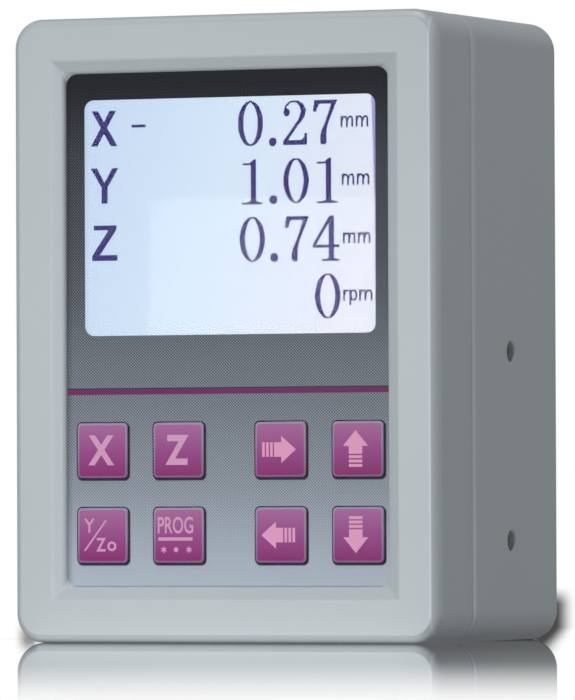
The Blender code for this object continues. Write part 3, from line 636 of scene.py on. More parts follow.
@dataclass(frozen=True)
class CasePlastic(MouldedPlastic):
    """The case's plastic: a darker seam band, a painted highlight behind it, and two places painted light.

    The darker band comes and goes along the seam.  The painted highlight on the seam's lip grows towards
    the foot.  The right front edge gets a painted highlight line and the recess's left slope painted light.
    Each place has a middle and a span over which it fades.
    """

    # middle and fade of the darker band along the seam
    seam: float = FRONT + 0.0231
    seam_fade: Span = (0.0001, 0.0009)
    # painted highlight along the seam's lip, just behind the seam
    seam_highlight: float = FRONT + 0.0244
    seam_highlight_fade: Span = (0.0001, 0.0011)
    front_end: float = FRONT + 0.0031
    # painted highlight line along the right front edge
    edge: float = 0.0569
    edge_highlight_fade: Span = (0.00005, 0.0005)
    # painted light on the recess's left slope
    slope: float = 0.0465
    slope_light_fade: Span = (0.0013, 0.0020)
    mitre_fade: Span = (-0.0002, 0.0003)
    patch: float = 0.03
    # colour of the darker seam band
    seam_darkening: Colour = srgb(120, 124, 132)
    # pale: colour of the painted highlights on the seam's lip and on the right front edge
    pale: Colour = srgb(220, 228, 242)
    # colour of the painted light on the left slope
    painted_slope_light: Colour = srgb(222, 229, 235)

    def paint(self, graph: Graph) -> None:
        """Lay the darker seam band, the painted highlights and the slope's painted light over the plastic."""
        _, x, y, z = graph.axes()
        plastic, grain = self.moulded(graph)
        patches = graph.noise(graph.joined(0.0, 0.0, z), self.patch, 3.0)
        # a darker band along the seam, coming and going in patches
        seam_darkening = (1 - abs(y - self.seam).ease(*self.seam_fade)) * (patches * 1.1 - 0.1).clamped()
        foot = 1 - z / CASE_HEIGHT
        # painted highlight along the seam's lip, stronger towards the foot
        seam_highlight = (1 - abs(y - self.seam_highlight).ease(*self.seam_highlight_fade)) * (0.12 + 0.62 * foot * foot)
        front = y < self.front_end
        # painted highlight line along the right front edge, on the front only
        edge = (1 - abs(x - self.edge).ease(*self.edge_highlight_fade)) * front
        # painted light on the recess's left slope, kept inside the recess by the mitre
        slope = (1 - abs(x + self.slope).ease(*self.slope_light_fade)) * front
        mitre = abs(x) + (MIDDLE_Z - CASE_WIDTH / 2) - abs(z - MIDDLE_Z)
        slope = slope * mitre.ease(*self.mitre_fade)
        colour = graph.layers(plastic, (seam_darkening * 0.6, self.seam_darkening), (seam_highlight * (0.6 + 0.8 * patches), self.pale),
                              (edge * 0.5, self.pale), (slope * 0.45, self.painted_slope_light))
        self.cover(graph, colour, grain)


@dataclass(frozen=True)
class PrintedFoil(Finish):
    """Satin plastic foil, printed with a halftone run from near black down to pale blue-grey.

    The spots sit on a lattice at 45 degrees: with u = (x + z) / pitch and v = (x - z) / pitch, a place is
    inked where first * cos 2 pi u + (1/2 - first) * cos 2 pi v + 1/2 is above a level that follows the
    height.  The ink has bled, so only the share called contrast stays in the spots, and the rest is even.
    """

    low: float
    high: float
    shift: float
    column_middle: float
    column_half: float
    row_middle: float
    row_half: float
    key_half: float
    left: float
    pitch: float = 0.000775
    first: float = 0.28
    contrast: float = 0.5
    line_z: float = 0.0641
    line_half: float = 0.00068
    edge_half: float = 0.00017
    sharpness: float = 12000.0
    # painted shade, laid in ink, along the foil's left edge by the recess wall
    wall_shade: Span = (-0.0004, 0.0021)
    drop: Place = (0.00022, -0.00028)
    drop_corner: float = 0.0013
    drop_grown: float = 0.0002
    drop_fade: Span = (0.00002, 0.00034)
    # painted shade, laid in ink, along the foil's foot
    rim_shade: Span = (0.00015, 0.00045)
    paper: Colour = srgb(188, 200, 214)
    ink: Colour = srgb(34, 35, 43)
    shadow: Colour = srgb(58, 50, 64)
    line_colour: Colour = srgb(122, 52, 107)

    def coverage(self) -> list[tuple[float, float]]:
        """Give the share of ink at some heights, as (share of the foil's height, ink)."""
        return [(0.0, 0.01), (0.04, 0.07), (0.19, 0.38), (0.36, 0.605), (0.405, 0.63), (0.45, 0.665),
                (0.55, 0.78), (0.65, 0.845), (0.75, 0.885), (0.84, 0.915), (0.94, 0.98), (0.975, 1.0)]

    def level_stops(self) -> list[tuple[float, Colour]]:
        """Turn ink shares into levels of the spot wave, by sampling the wave over one spot."""
        u, v = np.meshgrid(np.linspace(0, 1, 64, endpoint=False), np.linspace(0, 1, 64, endpoint=False))
        wave = self.first * np.cos(2 * np.pi * u) + (0.5 - self.first) * np.cos(2 * np.pi * v) + 0.5
        levels = [(share, float(np.quantile(wave, 1 - ink)) if ink < 1 else -0.2)
                  for share, ink in self.coverage()]
        return [(share, (level, level, level, 1.0)) for share, level in levels]

    def paint(self, graph: Graph) -> None:
        """Print the halftone run, the line with its black edge and keys' drop shadows; paint edge shade."""
        place, x, _, z = graph.axes()
        height = (z - self.low) / (self.high - self.low)
        level = graph.ramp(height, self.level_stops())
        even = graph.ramp(height, [(share, (ink, ink, ink, 1.0)) for share, ink in self.coverage()])
        turns = 2 * math.pi / self.pitch
        first, second = (((x + z) * turns).cosine(), ((x - z) * turns).cosine())
        wave = first * self.first + second * (0.5 - self.first) + 0.5
        spots = ((wave - level) * 5.0 + 0.5).clamped()
        # painted shade along the foil's left edge, where the recess wall shades it
        wall = 1 - (x - self.left).ease(*self.wall_shade)
        line, edge = ((0.5 - (abs(z - middle) - half) * self.sharpness).clamped() for middle, half in (
            (self.line_z, self.line_half), (self.line_z + self.line_half + self.edge_half, self.edge_half)))
        from_column = abs(abs(x - (self.shift + self.drop[0])) - self.column_middle) - self.column_half
        from_row = abs(z - (self.row_middle + self.drop[1])) - self.row_half
        drop = rounded_box_distance(from_column, from_row, self.key_half + self.drop_grown, self.drop_corner)
        # painted shade along the foil's foot
        foot = 1 - (z - self.low).ease(*self.rim_shade)
        colour = graph.layers(
            self.paper, (spots * self.contrast + even * (1 - self.contrast), self.ink),
            (wall * 0.42, self.ink), (line, self.line_colour), (edge * 0.85, self.ink),
            (1 - drop.ease(*self.drop_fade), self.shadow), (foot * 0.35, self.ink))
        grain = graph.noise(place, 0.0002, 2.0)
        graph.coat(colour, 0.38 + 0.12 * grain, grain, 0.000006, IOR=1.15)


@dataclass(frozen=True)
class KeyCap(Finish):
    """Satin purple key with a lilac rim; its own UV map runs from 0 to 1 across its face."""

    size: float
    rim: float = 0.00058
    corner: float = 0.0009
    top: Colour = srgb(180, 109, 166)
    middle: Colour = srgb(162, 64, 144)
    bottom: Colour = srgb(142, 14, 110)
    rim_colour: Colour = srgb(168, 160, 184)
    rim_low: Colour = srgb(146, 112, 154)

    def paint(self, graph: Graph) -> None:
        """Run the colour down the face and lay the lilac rim along its edges."""
        u, v, _ = graph.parts(graph.place("UV"))
        across = (u - 0.5) * self.size
        up = (v - 0.5) * self.size
        face = graph.ramp(v, [(0.02, self.bottom), (0.45, self.middle), (0.98, self.top)])
        inside = rounded_box_distance(across, up, self.size / 2 - self.rim, self.corner)
        rim = inside.ease(-0.00006, 0.00012)
        grain = graph.noise(graph.place(), 0.00025, 2.0)
        rim_colour = graph.ramp(v, [(0.02, self.rim_low), (0.6, self.rim_colour)])
        colour = graph.layers(face, (rim * 0.85, rim_colour), (0.12 * grain, self.rim_colour))
        graph.coat(colour, 0.36 + 0.14 * grain, grain, 0.000008, IOR=1.2)


@dataclass(frozen=True)
class LegendInk(Finish):
    """Pale screen-printed ink with a slightly uneven film."""

    colour: Colour

    def paint(self, graph: Graph) -> None:
        """Vary the ink's density a little."""
        grain = graph.noise(graph.place(), 0.0003, 3.0)
        colour = graph.mix(0.3 * grain, self.colour, dimmed(self.colour, 0.8))
        graph.coat(colour, 0.45 + 0.1 * grain, grain, 0.000004)


@dataclass(frozen=True)
class ClearLens(Finish):
    """Clear hard-coated plastic with a trace of haze."""

    def paint(self, graph: Graph) -> None:
        """Let light through, with a slightly uneven tint."""
        haze = graph.noise(graph.place(), 0.02, 3.0)
        tint = graph.mix(haze, WHITE, (0.985, 0.99, 0.995, 1.0))
        graph.coat(tint, 0.0, IOR=1.15, Transmission_Weight=1.0)


@dataclass(frozen=True)
class ScreenGlow(Finish):
    """Lit liquid-crystal glass: sky blue at the left, lavender white at the right, violet at one edge.

    The violet edge is a wedge: it is as wide as wedge_width at the top and gone at wedge_low.
    """

    low: Place
    high: Place
    pitch: float
    wedge_width: float = 0.00085
    wedge_low: float = 0.110
    wedge_fade: Span = (-0.00026, 0.00034)
    left: Colour = srgb(192, 212, 235)
    middle: Colour = srgb(207, 225, 241)
    right: Colour = srgb(225, 227, 238)
    edge: Colour = srgb(150, 144, 200)

    def paint(self, graph: Graph) -> None:
        """Colour the glow by its place and add the raster and a faint slanting weave."""
        _, x, _, z = graph.axes()
        share_x = (x - self.low[0]) / (self.high[0] - self.low[0])
        share_z = (z - self.low[1]) / (self.high[1] - self.low[1])
        run = 0.80 * share_x + 0.20 * (1 - share_z)
        glow = graph.ramp(run, [(0.05, self.left), (0.45, self.middle), (0.9, self.right)])
        width = ((z - self.wedge_low) / (self.high[1] - self.wedge_low)).clamped() * self.wedge_width
        gap = raster_gap(x, z, self.pitch, 0.40, 6.0)
        weave = ((x * 8200.0 - z * 2600.0).cosine() + 1) * 0.5
        glow = graph.layers(glow, ((x - self.high[0] + width).ease(*self.wedge_fade), self.edge),
                            (gap * 0.06 + weave * 0.025, srgb(120, 140, 190)))
        graph.coat(srgb(30, 34, 50), 0.15 + 0.05 * gap, Emission_Color=glow, Emission_Strength=1.0,
                   Specular_IOR_Level=0.0)


@dataclass(frozen=True)
class ScreenDots(Finish):
    """Dark blue dots of the liquid crystal, with thin lighter gaps between them."""

    pitch: float
    colour: Colour = srgb(32, 22, 104)
    gap_colour: Colour = srgb(60, 56, 140)

    def paint(self, graph: Graph) -> None:
        """Lighten the gaps of the raster."""
        _, x, _, z = graph.axes()
        gap = raster_gap(x, z, self.pitch, 0.42, 14.0)
        glow = graph.mix(gap * 0.5, self.colour, self.gap_colour)
        graph.coat(srgb(10, 10, 20), 0.2 + 0.1 * gap, Emission_Color=glow, Emission_Strength=1.0,
                   Specular_IOR_Level=0.0)


@dataclass(frozen=True)
class Metal(Finish):
    """Plated or painted metal with a fine drawn grain and faint stains."""

    colour: Colour
    roughness: float
    metallic: float = 1.0
    stain: float = 0.8

    def paint(self, graph: Graph) -> None:
        """Draw the grain along X and stain the plating."""
        place, x, y, z = graph.axes()
        drawn = graph.noise(graph.joined(x * 0.08, y, z), 0.00012, 3.0)
        stains = graph.noise(place, 0.004, 4.0)
        colour = graph.mix(stains, self.colour, dimmed(self.colour, self.stain))
        graph.coat(colour, self.roughness - 0.05 + 0.15 * drawn, drawn, 0.000004, Metallic=self.metallic)


@dataclass(frozen=True)
class CircuitBoard(Finish):
    """Green lacquered board with copper tracks, tinned pads and small vias.

    The board is split into square cells; a random number per cell picks a track along X or along Z, and
    another one a pad.
    """

    cell: float = 0.00127
    track: float = 0.16
    pad: float = 0.36
    via: float = 0.14

    def paint(self, graph: Graph) -> None:
        """Lay tracks and pads in the cells, on both faces."""
        place, x, _, z = graph.axes()
        column, row = x / self.cell, z / self.cell
        across, up = column.fraction() - 0.5, row.fraction() - 0.5
        pick, second = (graph.speckle(graph.joined(column.floor(), row.floor(), draw)) for draw in (0.0, 7.0))
        along_x = (abs(up) < self.track) * (pick < 0.45)
        along_z = (abs(across) < self.track) * (pick > 0.40)
        track = (along_x + along_z).clamped() * (second > 0.25)
        radius = (across ** 2 + up ** 2).root()
        pad, via = ((radius < reach) * (second > 0.86) for reach in (self.pad, self.via))
        weave = graph.noise(place, 0.0004, 2.0)
        colour = graph.layers(srgb(12, 84, 48), (0.3 * weave, srgb(6, 60, 34)), (track, srgb(34, 122, 66)),
                              (pad, srgb(196, 196, 190)), (via, srgb(30, 30, 30)))
        graph.coat(colour, 0.42 - 0.12 * pad + 0.08 * weave, 0.5 * track + pad, 0.00003, Metallic=pad * 0.9)


@dataclass(frozen=True)
class Rubber(Finish):
    """Matt black rubber with talc in its pores."""

    def paint(self, graph: Graph) -> None:
        """Lighten the pores."""
        pores = graph.noise(graph.place(), 0.0005, 4.0, 0.7)
        colour = graph.mix(pores.ease(0.55, 0.8), srgb(28, 28, 29), srgb(62, 62, 62))
        graph.coat(colour, 0.75 + 0.15 * pores, pores, 0.00002)


@dataclass(frozen=True)
class Ribbon(Finish):
    """Flat cable of round cores side by side, with one red edge core."""

    left: float
    core: float = 0.00127

    def paint(self, graph: Graph) -> None:
        """Round each core across the cable, paint groove shade and colour the first one."""
        place, x, _, _ = graph.axes()
        count = (x - self.left) / self.core
        across = abs(count.fraction() - 0.5) * 2
        ridge = (1 - across ** 2).root()
        dirt = graph.noise(place, 0.003, 3.0)
        # the darker grey along each core's sides is painted shade in the grooves between cores
        colour = graph.layers(srgb(166, 166, 168), (0.4 * dirt, srgb(140, 140, 142)),
                              (across.ease(0.8, 1.0) * 0.5, srgb(96, 96, 98)),
                              (count < 1.0, srgb(168, 42, 38)))
        graph.coat(colour, 0.5 + 0.1 * dirt, ridge, 0.0003)


@dataclass(frozen=True)
class Sleeve(Finish):
    """Capacitor: blue shrink sleeve with a pale stripe, and a scored aluminium end."""

    middle: Place
    end: float
    radius: float
    score: float = 0.00015

    def paint(self, graph: Graph) -> None:
        """Pick sleeve, stripe or metal by the place about the capacitor's axis."""
        place, x, y, z = graph.axes()
        across, up = x - self.middle[0], z - self.middle[1]
        from_axis = (across ** 2 + up ** 2).root() / self.radius
        top = (y < self.end + 0.0001) * (from_axis < 0.82)
        score = ((abs(across) < self.score) + (abs(up) < self.score)).clamped() * top
        stripe = (across > 0.0) * (abs(up) < self.radius * 0.4)
        grain = graph.noise(place, 0.0008, 3.0)
        colour = graph.layers(srgb(34, 58, 128), (0.3 * grain, srgb(24, 42, 100)),
                              (stripe, srgb(196, 202, 214)), (top, srgb(190, 192, 196)))
        graph.coat(colour, 0.34 + 0.1 * grain, grain - score, 0.00004, Metallic=top * 0.95)


@dataclass(frozen=True)
class LightGuide(Finish):
    """White light guide with a raster of tiny printed dots."""

    pitch: float = 0.0012
    dot: float = 0.28

    def paint(self, graph: Graph) -> None:
        """Print the dots."""
        place, x, _, z = graph.axes()
        across = (x / self.pitch).fraction() - 0.5
        up = (z / self.pitch).fraction() - 0.5
        dot = (across ** 2 + up ** 2).root() < self.dot
        milk = graph.noise(place, 0.01, 3.0)
        colour = graph.mix(dot, srgb(226, 230, 232), srgb(244, 246, 246))
        graph.coat(colour, 0.3 + 0.1 * milk, dot, 0.00001)


@dataclass(frozen=True)
class Epoxy(Finish):
    """Moulded black housing; its dimple lies far outside it where it has none."""

    dimple: Place = (9.0, 9.0)
    dimple_edge: Span = (0.0005, 0.0007)
    colour: Colour = srgb(34, 34, 36)

    def paint(self, graph: Graph) -> None:
        """Sandblast the face and press the dimple."""
        place, x, _, z = graph.axes()
        grain = graph.noise(place, 0.00018, 3.0)
        radius = ((x - self.dimple[0]) ** 2 + (z - self.dimple[1]) ** 2).root()
        dot = 1 - radius.ease(*self.dimple_edge)
        colour = graph.mix(0.5 * grain, self.colour, dimmed(self.colour, 0.6))
        graph.coat(colour, 0.5 + 0.2 * grain - 0.2 * dot, grain - 3.0 * dot, 0.00002)


class CasePaint(Enum):
    """The finishes that several sub-assemblies share."""

    CASE = CasePlastic("case_plastic", srgb(189, 198, 203), roughness=0.46, index=1.65)
    SOCKET = MouldedPlastic("socket_plastic", srgb(34, 35, 37), grain=0.0002, roughness=0.38)
    HEADER = MouldedPlastic("header_plastic", srgb(224, 222, 212), grain=0.0003, roughness=0.4)
    SEAL = Rubber("seal_rubber")
    FRAME_STEEL = Metal("blackened_steel", srgb(52, 52, 55), 0.38, 0.9)
    SCREW_STEEL = Metal("zinc_plated_steel", srgb(202, 202, 198), 0.28)
    BRASS = Metal("turned_brass", srgb(214, 178, 108), 0.28)
    CONTACT = Metal("gold_contact", srgb(232, 196, 112), 0.22)
    BOARD = CircuitBoard("circuit_board")
    GUIDE = LightGuide("light_guide")
    SWITCH = Epoxy("switch_housing")


# ---------------------------------------------------------------- pieces
def dress(node: str, finish: Finish) -> None:
    """Give a CAD node its finish and report it."""
    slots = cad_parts[node].data.materials
    slots.clear()
    slots.append(material_of(finish))
    LOG.info("dressed %s in %s", node, finish.name)


def add_piece(name: str, shape: Shape, finish: Finish, body: str, stands_for: Sequence[str] = (),
              unwrap: Callable[[np.ndarray], np.ndarray] | None = None) -> None:
    """Make one finished piece, hang it on its body and report it.

    Args:
        name: Name of the piece.
        shape: Its surface, in place.
        finish: Its finish.
        body: The moving body that carries it.
        stands_for: CAD nodes that it replaces.
        unwrap: Turns points of (n, 3) into UV places of (n, 2).
    """
    mesh = shape.mesh(name)
    mesh.shade_smooth()
    mesh.set_sharp_from_angle(angle=math.radians(CRISP_ANGLE))
    if unwrap:
        corners = np.empty(len(mesh.loops), np.int32)
        mesh.loops.foreach_get("vertex_index", corners)
        layer = mesh.uv_layers.new(name="face")
        layer.data.foreach_set("uv", unwrap(points_of(mesh)[corners]).astype(np.float32).ravel())
    mesh.materials.append(material_of(finish))
    piece = linked(name, mesh)
    even = piece.modifiers.new("even_normals", "WEIGHTED_NORMAL")
    even.keep_sharp = True
    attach(piece, body)
    if stands_for:
        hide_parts(*stands_for)
    LOG.info("made %s: %d faces on %s", name, len(mesh.polygons), body)


def settled(holder: bpy.types.Object) -> bpy.types.Mesh:
    """Give an object's mesh with its modifiers applied."""
    bpy.context.view_layer.update()
    return bpy.data.meshes.new_from_object(holder.evaluated_get(bpy.context.evaluated_depsgraph_get()))


def pierced(mesh: bpy.types.Mesh, tool: Shape) -> bpy.types.Mesh:
    """Cut a tool's shape out of a closed mesh.

    Args:
        mesh: The mesh to cut.
        tool: Closed cutting shape.

    Returns:
        The cut mesh.
    """
    holder, cutter = linked(mesh.name, mesh), linked("cutter", tool.mesh("cutter"))
    cut = holder.modifiers.new("cut", "BOOLEAN")
    cut.operation, cut.solver, cut.object = "DIFFERENCE", "EXACT", cutter
    done = settled(holder)
    for item in (holder, cutter):
        bpy.data.objects.remove(item)
    return done


@dataclass(frozen=True)
class Shell:
    """What both halves of the case share."""

    wall: float = 0.0030
    corner: float = 0.0075
    post: float = 0.0030
    post_bore: float = 0.0014
    bite: float = 0.0067
    play: float = 0.0003

    @staticmethod
    def wrapped(path: np.ndarray) -> np.ndarray:
        """Carry a wall's section, as rows of (inset, depth, corner radius), round the case."""
        return carried_round(path, CASE_WIDTH, CASE_HEIGHT, (0, MIDDLE_Z), 16)

    @staticmethod
    def tube(place: Place, radius: float, bore: float, run: tuple[float, float, float], sides: int = 28,
             axis: str = "Y") -> Shape:
        """Give a round boss with a blind bore; run is where its root, its tip and its bore's floor are."""
        root, tip, floor = run
        profile = [(0, root), (radius, root), (radius, tip), (bore, tip), (bore, floor), (0, floor)]
        return turned(profile, place, sides, axis)


@dataclass(frozen=True)
class FrontShell(Shell):
    """Front half of the case: soft outer rim, flat frame, sloping recess and the panel behind the foil."""

    rim: float = 0.0032
    rim_end: float = 0.0030
    break_angle: float = 22.0
    break_soft: float = 0.0006
    sink: float = 0.00022
    sink_run: float = 0.0025
    border: float = 0.0109
    recess: float = 0.0025
    recess_soft: float = 0.0025
    recess_corner: float = 0.0002
    pocket: float = 0.0143
    pocket_soft: float = 0.0016
    pocket_corner: float = 0.0030
    lip: float = 0.0003
    seal_seat: float = 0.0015
    seal_depth: float = 0.0012
    floor: float = 0.0031
    panel_back: float = 0.0056
    panel_edge: float = 0.0128
    shelf_edge: float = 0.0120
    key_gap: float = 0.0003
    overlap: float = 0.0001
    boss: float = 0.0042
    boss_bore: float = 0.0020
    boss_bite: float = 0.0130
    boss_root: float = 0.0024
    post_root: float = 0.0041
    least_floor: float = 0.0005

    @property
    def seam(self) -> float:
        """Depth of the shell's rear edge."""
        return depth_of("front_shell", 1)

    def slope_angle(self) -> float:
        """Give the recess's slope in degrees: from its outer edge, it touches the inner rounding."""
        run = self.pocket - self.pocket_soft - self.border
        return math.degrees(math.atan2(self.recess, run)
                            - math.asin(self.pocket_soft / math.hypot(run, self.recess)))

    def profile(self) -> np.ndarray:
        """Trace the wall's section, as rows of (inset, depth, corner radius), from the seam round."""
        slope = self.slope_angle()
        tangent = self.recess_soft * math.tan(math.radians(slope) / 2)
        lip = arc((self.sink + self.lip, self.seam - self.lip), self.lip, 90, 180, 4)
        away = np.linspace(0, 1, 7)[1:]
        sunk = np.column_stack([self.sink * (1 - away) ** 2, self.seam - self.lip - self.sink_run * away])
        rim = arc((self.rim, self.rim_end), self.rim, 180, 270 - self.break_angle, 12)
        turn_in = self.break_soft * math.tan(math.radians(self.break_angle) / 2)
        flat_start = rim[-1][0] + rim[-1][1] / math.tan(math.radians(self.break_angle)) + turn_in
        edge = arc((flat_start, self.break_soft), self.break_soft, 270 - self.break_angle, 270, 4)
        soft = arc((self.border - tangent, self.recess_soft), self.recess_soft, 270, 270 + slope, 8)
        turn = arc((self.pocket - self.pocket_soft, self.recess), self.pocket_soft, slope - 90, 0, 10)
        growth = np.linspace(self.recess_corner, self.pocket_corner, len(turn))
        outside = [(*point, self.corner - point[0]) for point in np.vstack([lip, sunk, rim, edge])]
        sloping = [(*point, self.recess_corner) for point in soft]
        sloping += [(*point, radius) for point, radius in zip(turn, growth)]
        inside = [(self.pocket, self.floor, self.pocket_corner),
                  (self.panel_edge, self.floor, self.pocket_corner),
                  (self.panel_edge, self.panel_back, self.pocket_corner),
                  (self.shelf_edge, self.panel_back, self.key_gap),
                  (self.shelf_edge, self.wall, self.key_gap),
                  (self.wall, self.wall, self.corner - self.wall),
                  (self.wall, self.seam - self.seal_depth, self.corner - self.wall),
                  (self.seal_seat, self.seam - self.seal_depth, self.corner - self.seal_seat),
                  (self.seal_seat, self.seam, self.corner - self.seal_seat)]
        return np.array(outside + sloping + inside)

    def panel(self) -> Shape:
        """Give the panel behind the foil, open for the screen and the keys."""
        reach = 2 * self.panel_edge - self.overlap
        outline = rounded_loop(CASE_WIDTH - reach, CASE_HEIGHT - reach, self.pocket_corner, (0, MIDDLE_Z))
        low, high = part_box("display_window")
        gap = 2 * self.key_gap
        window = rounded_loop(high.x - low.x + gap, high.z - low.z + gap, self.key_gap,
                              middle_of("display_window"), 3)
        return slab(outline, [window, *KeyPad.holes()], self.floor, self.panel_back)

    def bosses(self) -> Shape:
        """Give the tubes that the case screws and the boards' screws bite in."""
        sizes = [("case_screw_" + corner, self.boss, self.boss_bore, self.boss_root, self.seam,
                  self.boss_bite) for corner in Fasteners.corners]
        for node in Fasteners.front_board_screws():
            board = "lcd_board" if node.startswith("lcd") else "key_board"
            sizes.append((node, self.post, self.post_bore, self.post_root, depth_of(board) - self.play,
                          self.bite))
        tubes = []
        for node, radius, bore, root, tip, bite in sizes:
            floor = max(tip - bite, root + self.least_floor)
            tubes.append(self.tube(middle_of(node), radius, bore, (FRONT + root, FRONT + tip, FRONT + floor)))
        return together(tubes)

    def build(self) -> None:
        """Make the shell as one piece."""
        shell = skin(self.wrapped(self.profile()), round_path=True)
        add_piece("front_frame", shell + self.panel() + self.bosses(), CasePaint.CASE.value, "case",
                  ["front_shell"])


@dataclass(frozen=True)
class RearShell(Shell):
    """Rear half of the case, with its openings, screw columns, board posts and bracket bosses."""

    rim: float = 0.0025
    lip: float = 0.0005
    lip_rise: float = 0.0004
    lip_run: float = 0.0032
    column: float = 0.0052
    column_bore: float = 0.0020
    head_bore: float = 0.0032
    head_seat: float = 0.0411
    socket_hole: float = 0.0059
    side_hole: float = 0.00265
    mouth: float = 0.0004
    side_boss: float = 0.00465
    side_depth: float = 0.0090
    side_floor: float = 0.0010

    @property
    def seam(self) -> float:
        """Depth of the shell's front edge."""
        return depth_of("rear_shell")

    def wrap(self) -> np.ndarray:
        """Carry the side wall's section round the case, from its inner corner to the rear face."""
        slope = math.degrees(math.atan2(2 * self.lip_rise, self.lip_run))
        lip = arc((self.lip_rise + self.lip, self.seam + self.lip), self.lip, 270, 180 + slope, 6)
        away = np.linspace(0, 1, 9)
        eased = np.column_stack([lip[-1][0] * (1 - away) ** 2, lip[-1][1] + self.lip_run * away])
        rim = arc((self.rim, CASE_DEPTH - self.rim), self.rim, 180, 90, 12)
        outside = [(*point, self.corner - point[0]) for point in np.vstack([lip[:-1], eased, rim])]
        inside = [(self.wall, CASE_DEPTH - self.wall, self.corner - self.wall),
                  (self.wall, self.seam, self.corner - self.wall)]
        return self.wrapped(np.array(inside + outside))

    def rear_wall(self, wrap: np.ndarray) -> Shape:
        """Close the rear with a wall that is open for the sockets and the case screws."""
        holes = [circle(self.socket_hole, middle_of(node), 40) for node in Sockets.nodes]
        holes += [circle(self.head_bore, middle_of("case_screw_" + corner), 28)
                  for corner in Fasteners.corners]
        inner, outer = (wrap[index][:, (0, 2)] for index in (0, -1))
        return slab(inner, holes, CASE_DEPTH - self.wall, CASE_DEPTH, outer)

    def supports(self) -> Shape:
        """Give the long columns that the case screws go through, and the posts that carry the main board."""
        end, seat, seam = (FRONT + depth for depth in (CASE_DEPTH - self.wall, self.head_seat, self.seam))
        column = [(self.head_bore, end), (self.head_bore, seat), (self.column_bore, seat),
                  (self.column_bore, seam), (self.column, seam), (self.column, end)]
        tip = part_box("main_board")[1].y + self.play
        shapes = [turned(column, middle_of("case_screw_" + corner), 28, ring=True)
                  for corner in Fasteners.corners]
        shapes += [self.tube(middle_of("main_board_screw_" + corner), self.post, self.post_bore,
                             (end, tip, tip + self.bite), 24) for corner in Fasteners.corners]
        return together(shapes)

    def side_holes(self) -> tuple[Shape, Shape]:
        """Work out the holes of the side walls.

        Returns:
            The blind bosses behind the holes, and the rods that open the walls.
        """
        bosses, rods = [], []
        for node in Fasteners.inserts:
            place, side = middle_of(node, "yz"), math.copysign(1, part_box(node)[0].x)
            end, floor, wall, near, mouth, far = (side * (CASE_WIDTH / 2 - inset) for inset in (
                self.side_depth + self.side_floor, self.side_depth, self.wall, self.wall + self.play,
                self.mouth, -self.mouth))
            bosses.append(self.tube(place, self.side_boss, self.side_hole, (end, wall, floor), 32, "X"))
            rods.append(turned([(0, near), (self.side_hole, near), (self.side_hole, mouth),
                                (self.side_hole + 2 * self.mouth, far), (0, far)], place, 40, "X"))
        return together(bosses), together(rods)

    def build(self) -> None:
        """Make the shell as one piece."""
        wrap = self.wrap()
        bosses, rods = self.side_holes()
        outer = (skin(wrap) + self.rear_wall(wrap)).outward().mesh("rear_cover")
        add_piece("rear_cover", shape_of(pierced(outer, rods)) + self.supports() + bosses,
                  CasePaint.CASE.value, "case", ["rear_shell"])


@dataclass(frozen=True)
class FrontFoil:
    """Printed foil that fills the recess, open over the screen and the keys."""

    tuck: float = 0.00005
    thickness: float = 0.0003
    corner: float = 0.0030
    window_corner: float = 0.0026
    window_width: float = 0.0811
    window_height: float = 0.0604

    def build(self) -> None:
        """Cut the foil and print it."""
        low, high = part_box("front_foil")
        inset = 2 * (FrontShell.pocket - self.tuck)
        outline = rounded_loop(CASE_WIDTH - inset, CASE_HEIGHT - inset, self.corner, (0, MIDDLE_Z), 10)
        window = rounded_loop(self.window_width, self.window_height, self.window_corner,
                              middle_of("display_window"), 12)
        places = KeyPad.places().values()
        columns, rows = (sorted({round(place[axis], 5) for place in places}) for axis in (0, 1))
        shift = sum(columns) / 4
        right = [x - shift for x in columns[2:]]
        print_run = PrintedFoil("printed_foil", low.z, high.z, shift, sum(right) / 2,
                                (right[1] - right[0]) / 2, sum(rows) / 2, (rows[1] - rows[0]) / 2,
                                KeyPad.size / 2, FrontShell.pocket - CASE_WIDTH / 2)
        face = FrontShell.recess
        plate = slab(outline, [window, *KeyPad.holes()], face, face + self.thickness)
        add_piece("foil", plate, print_run, "case", ["front_foil"])


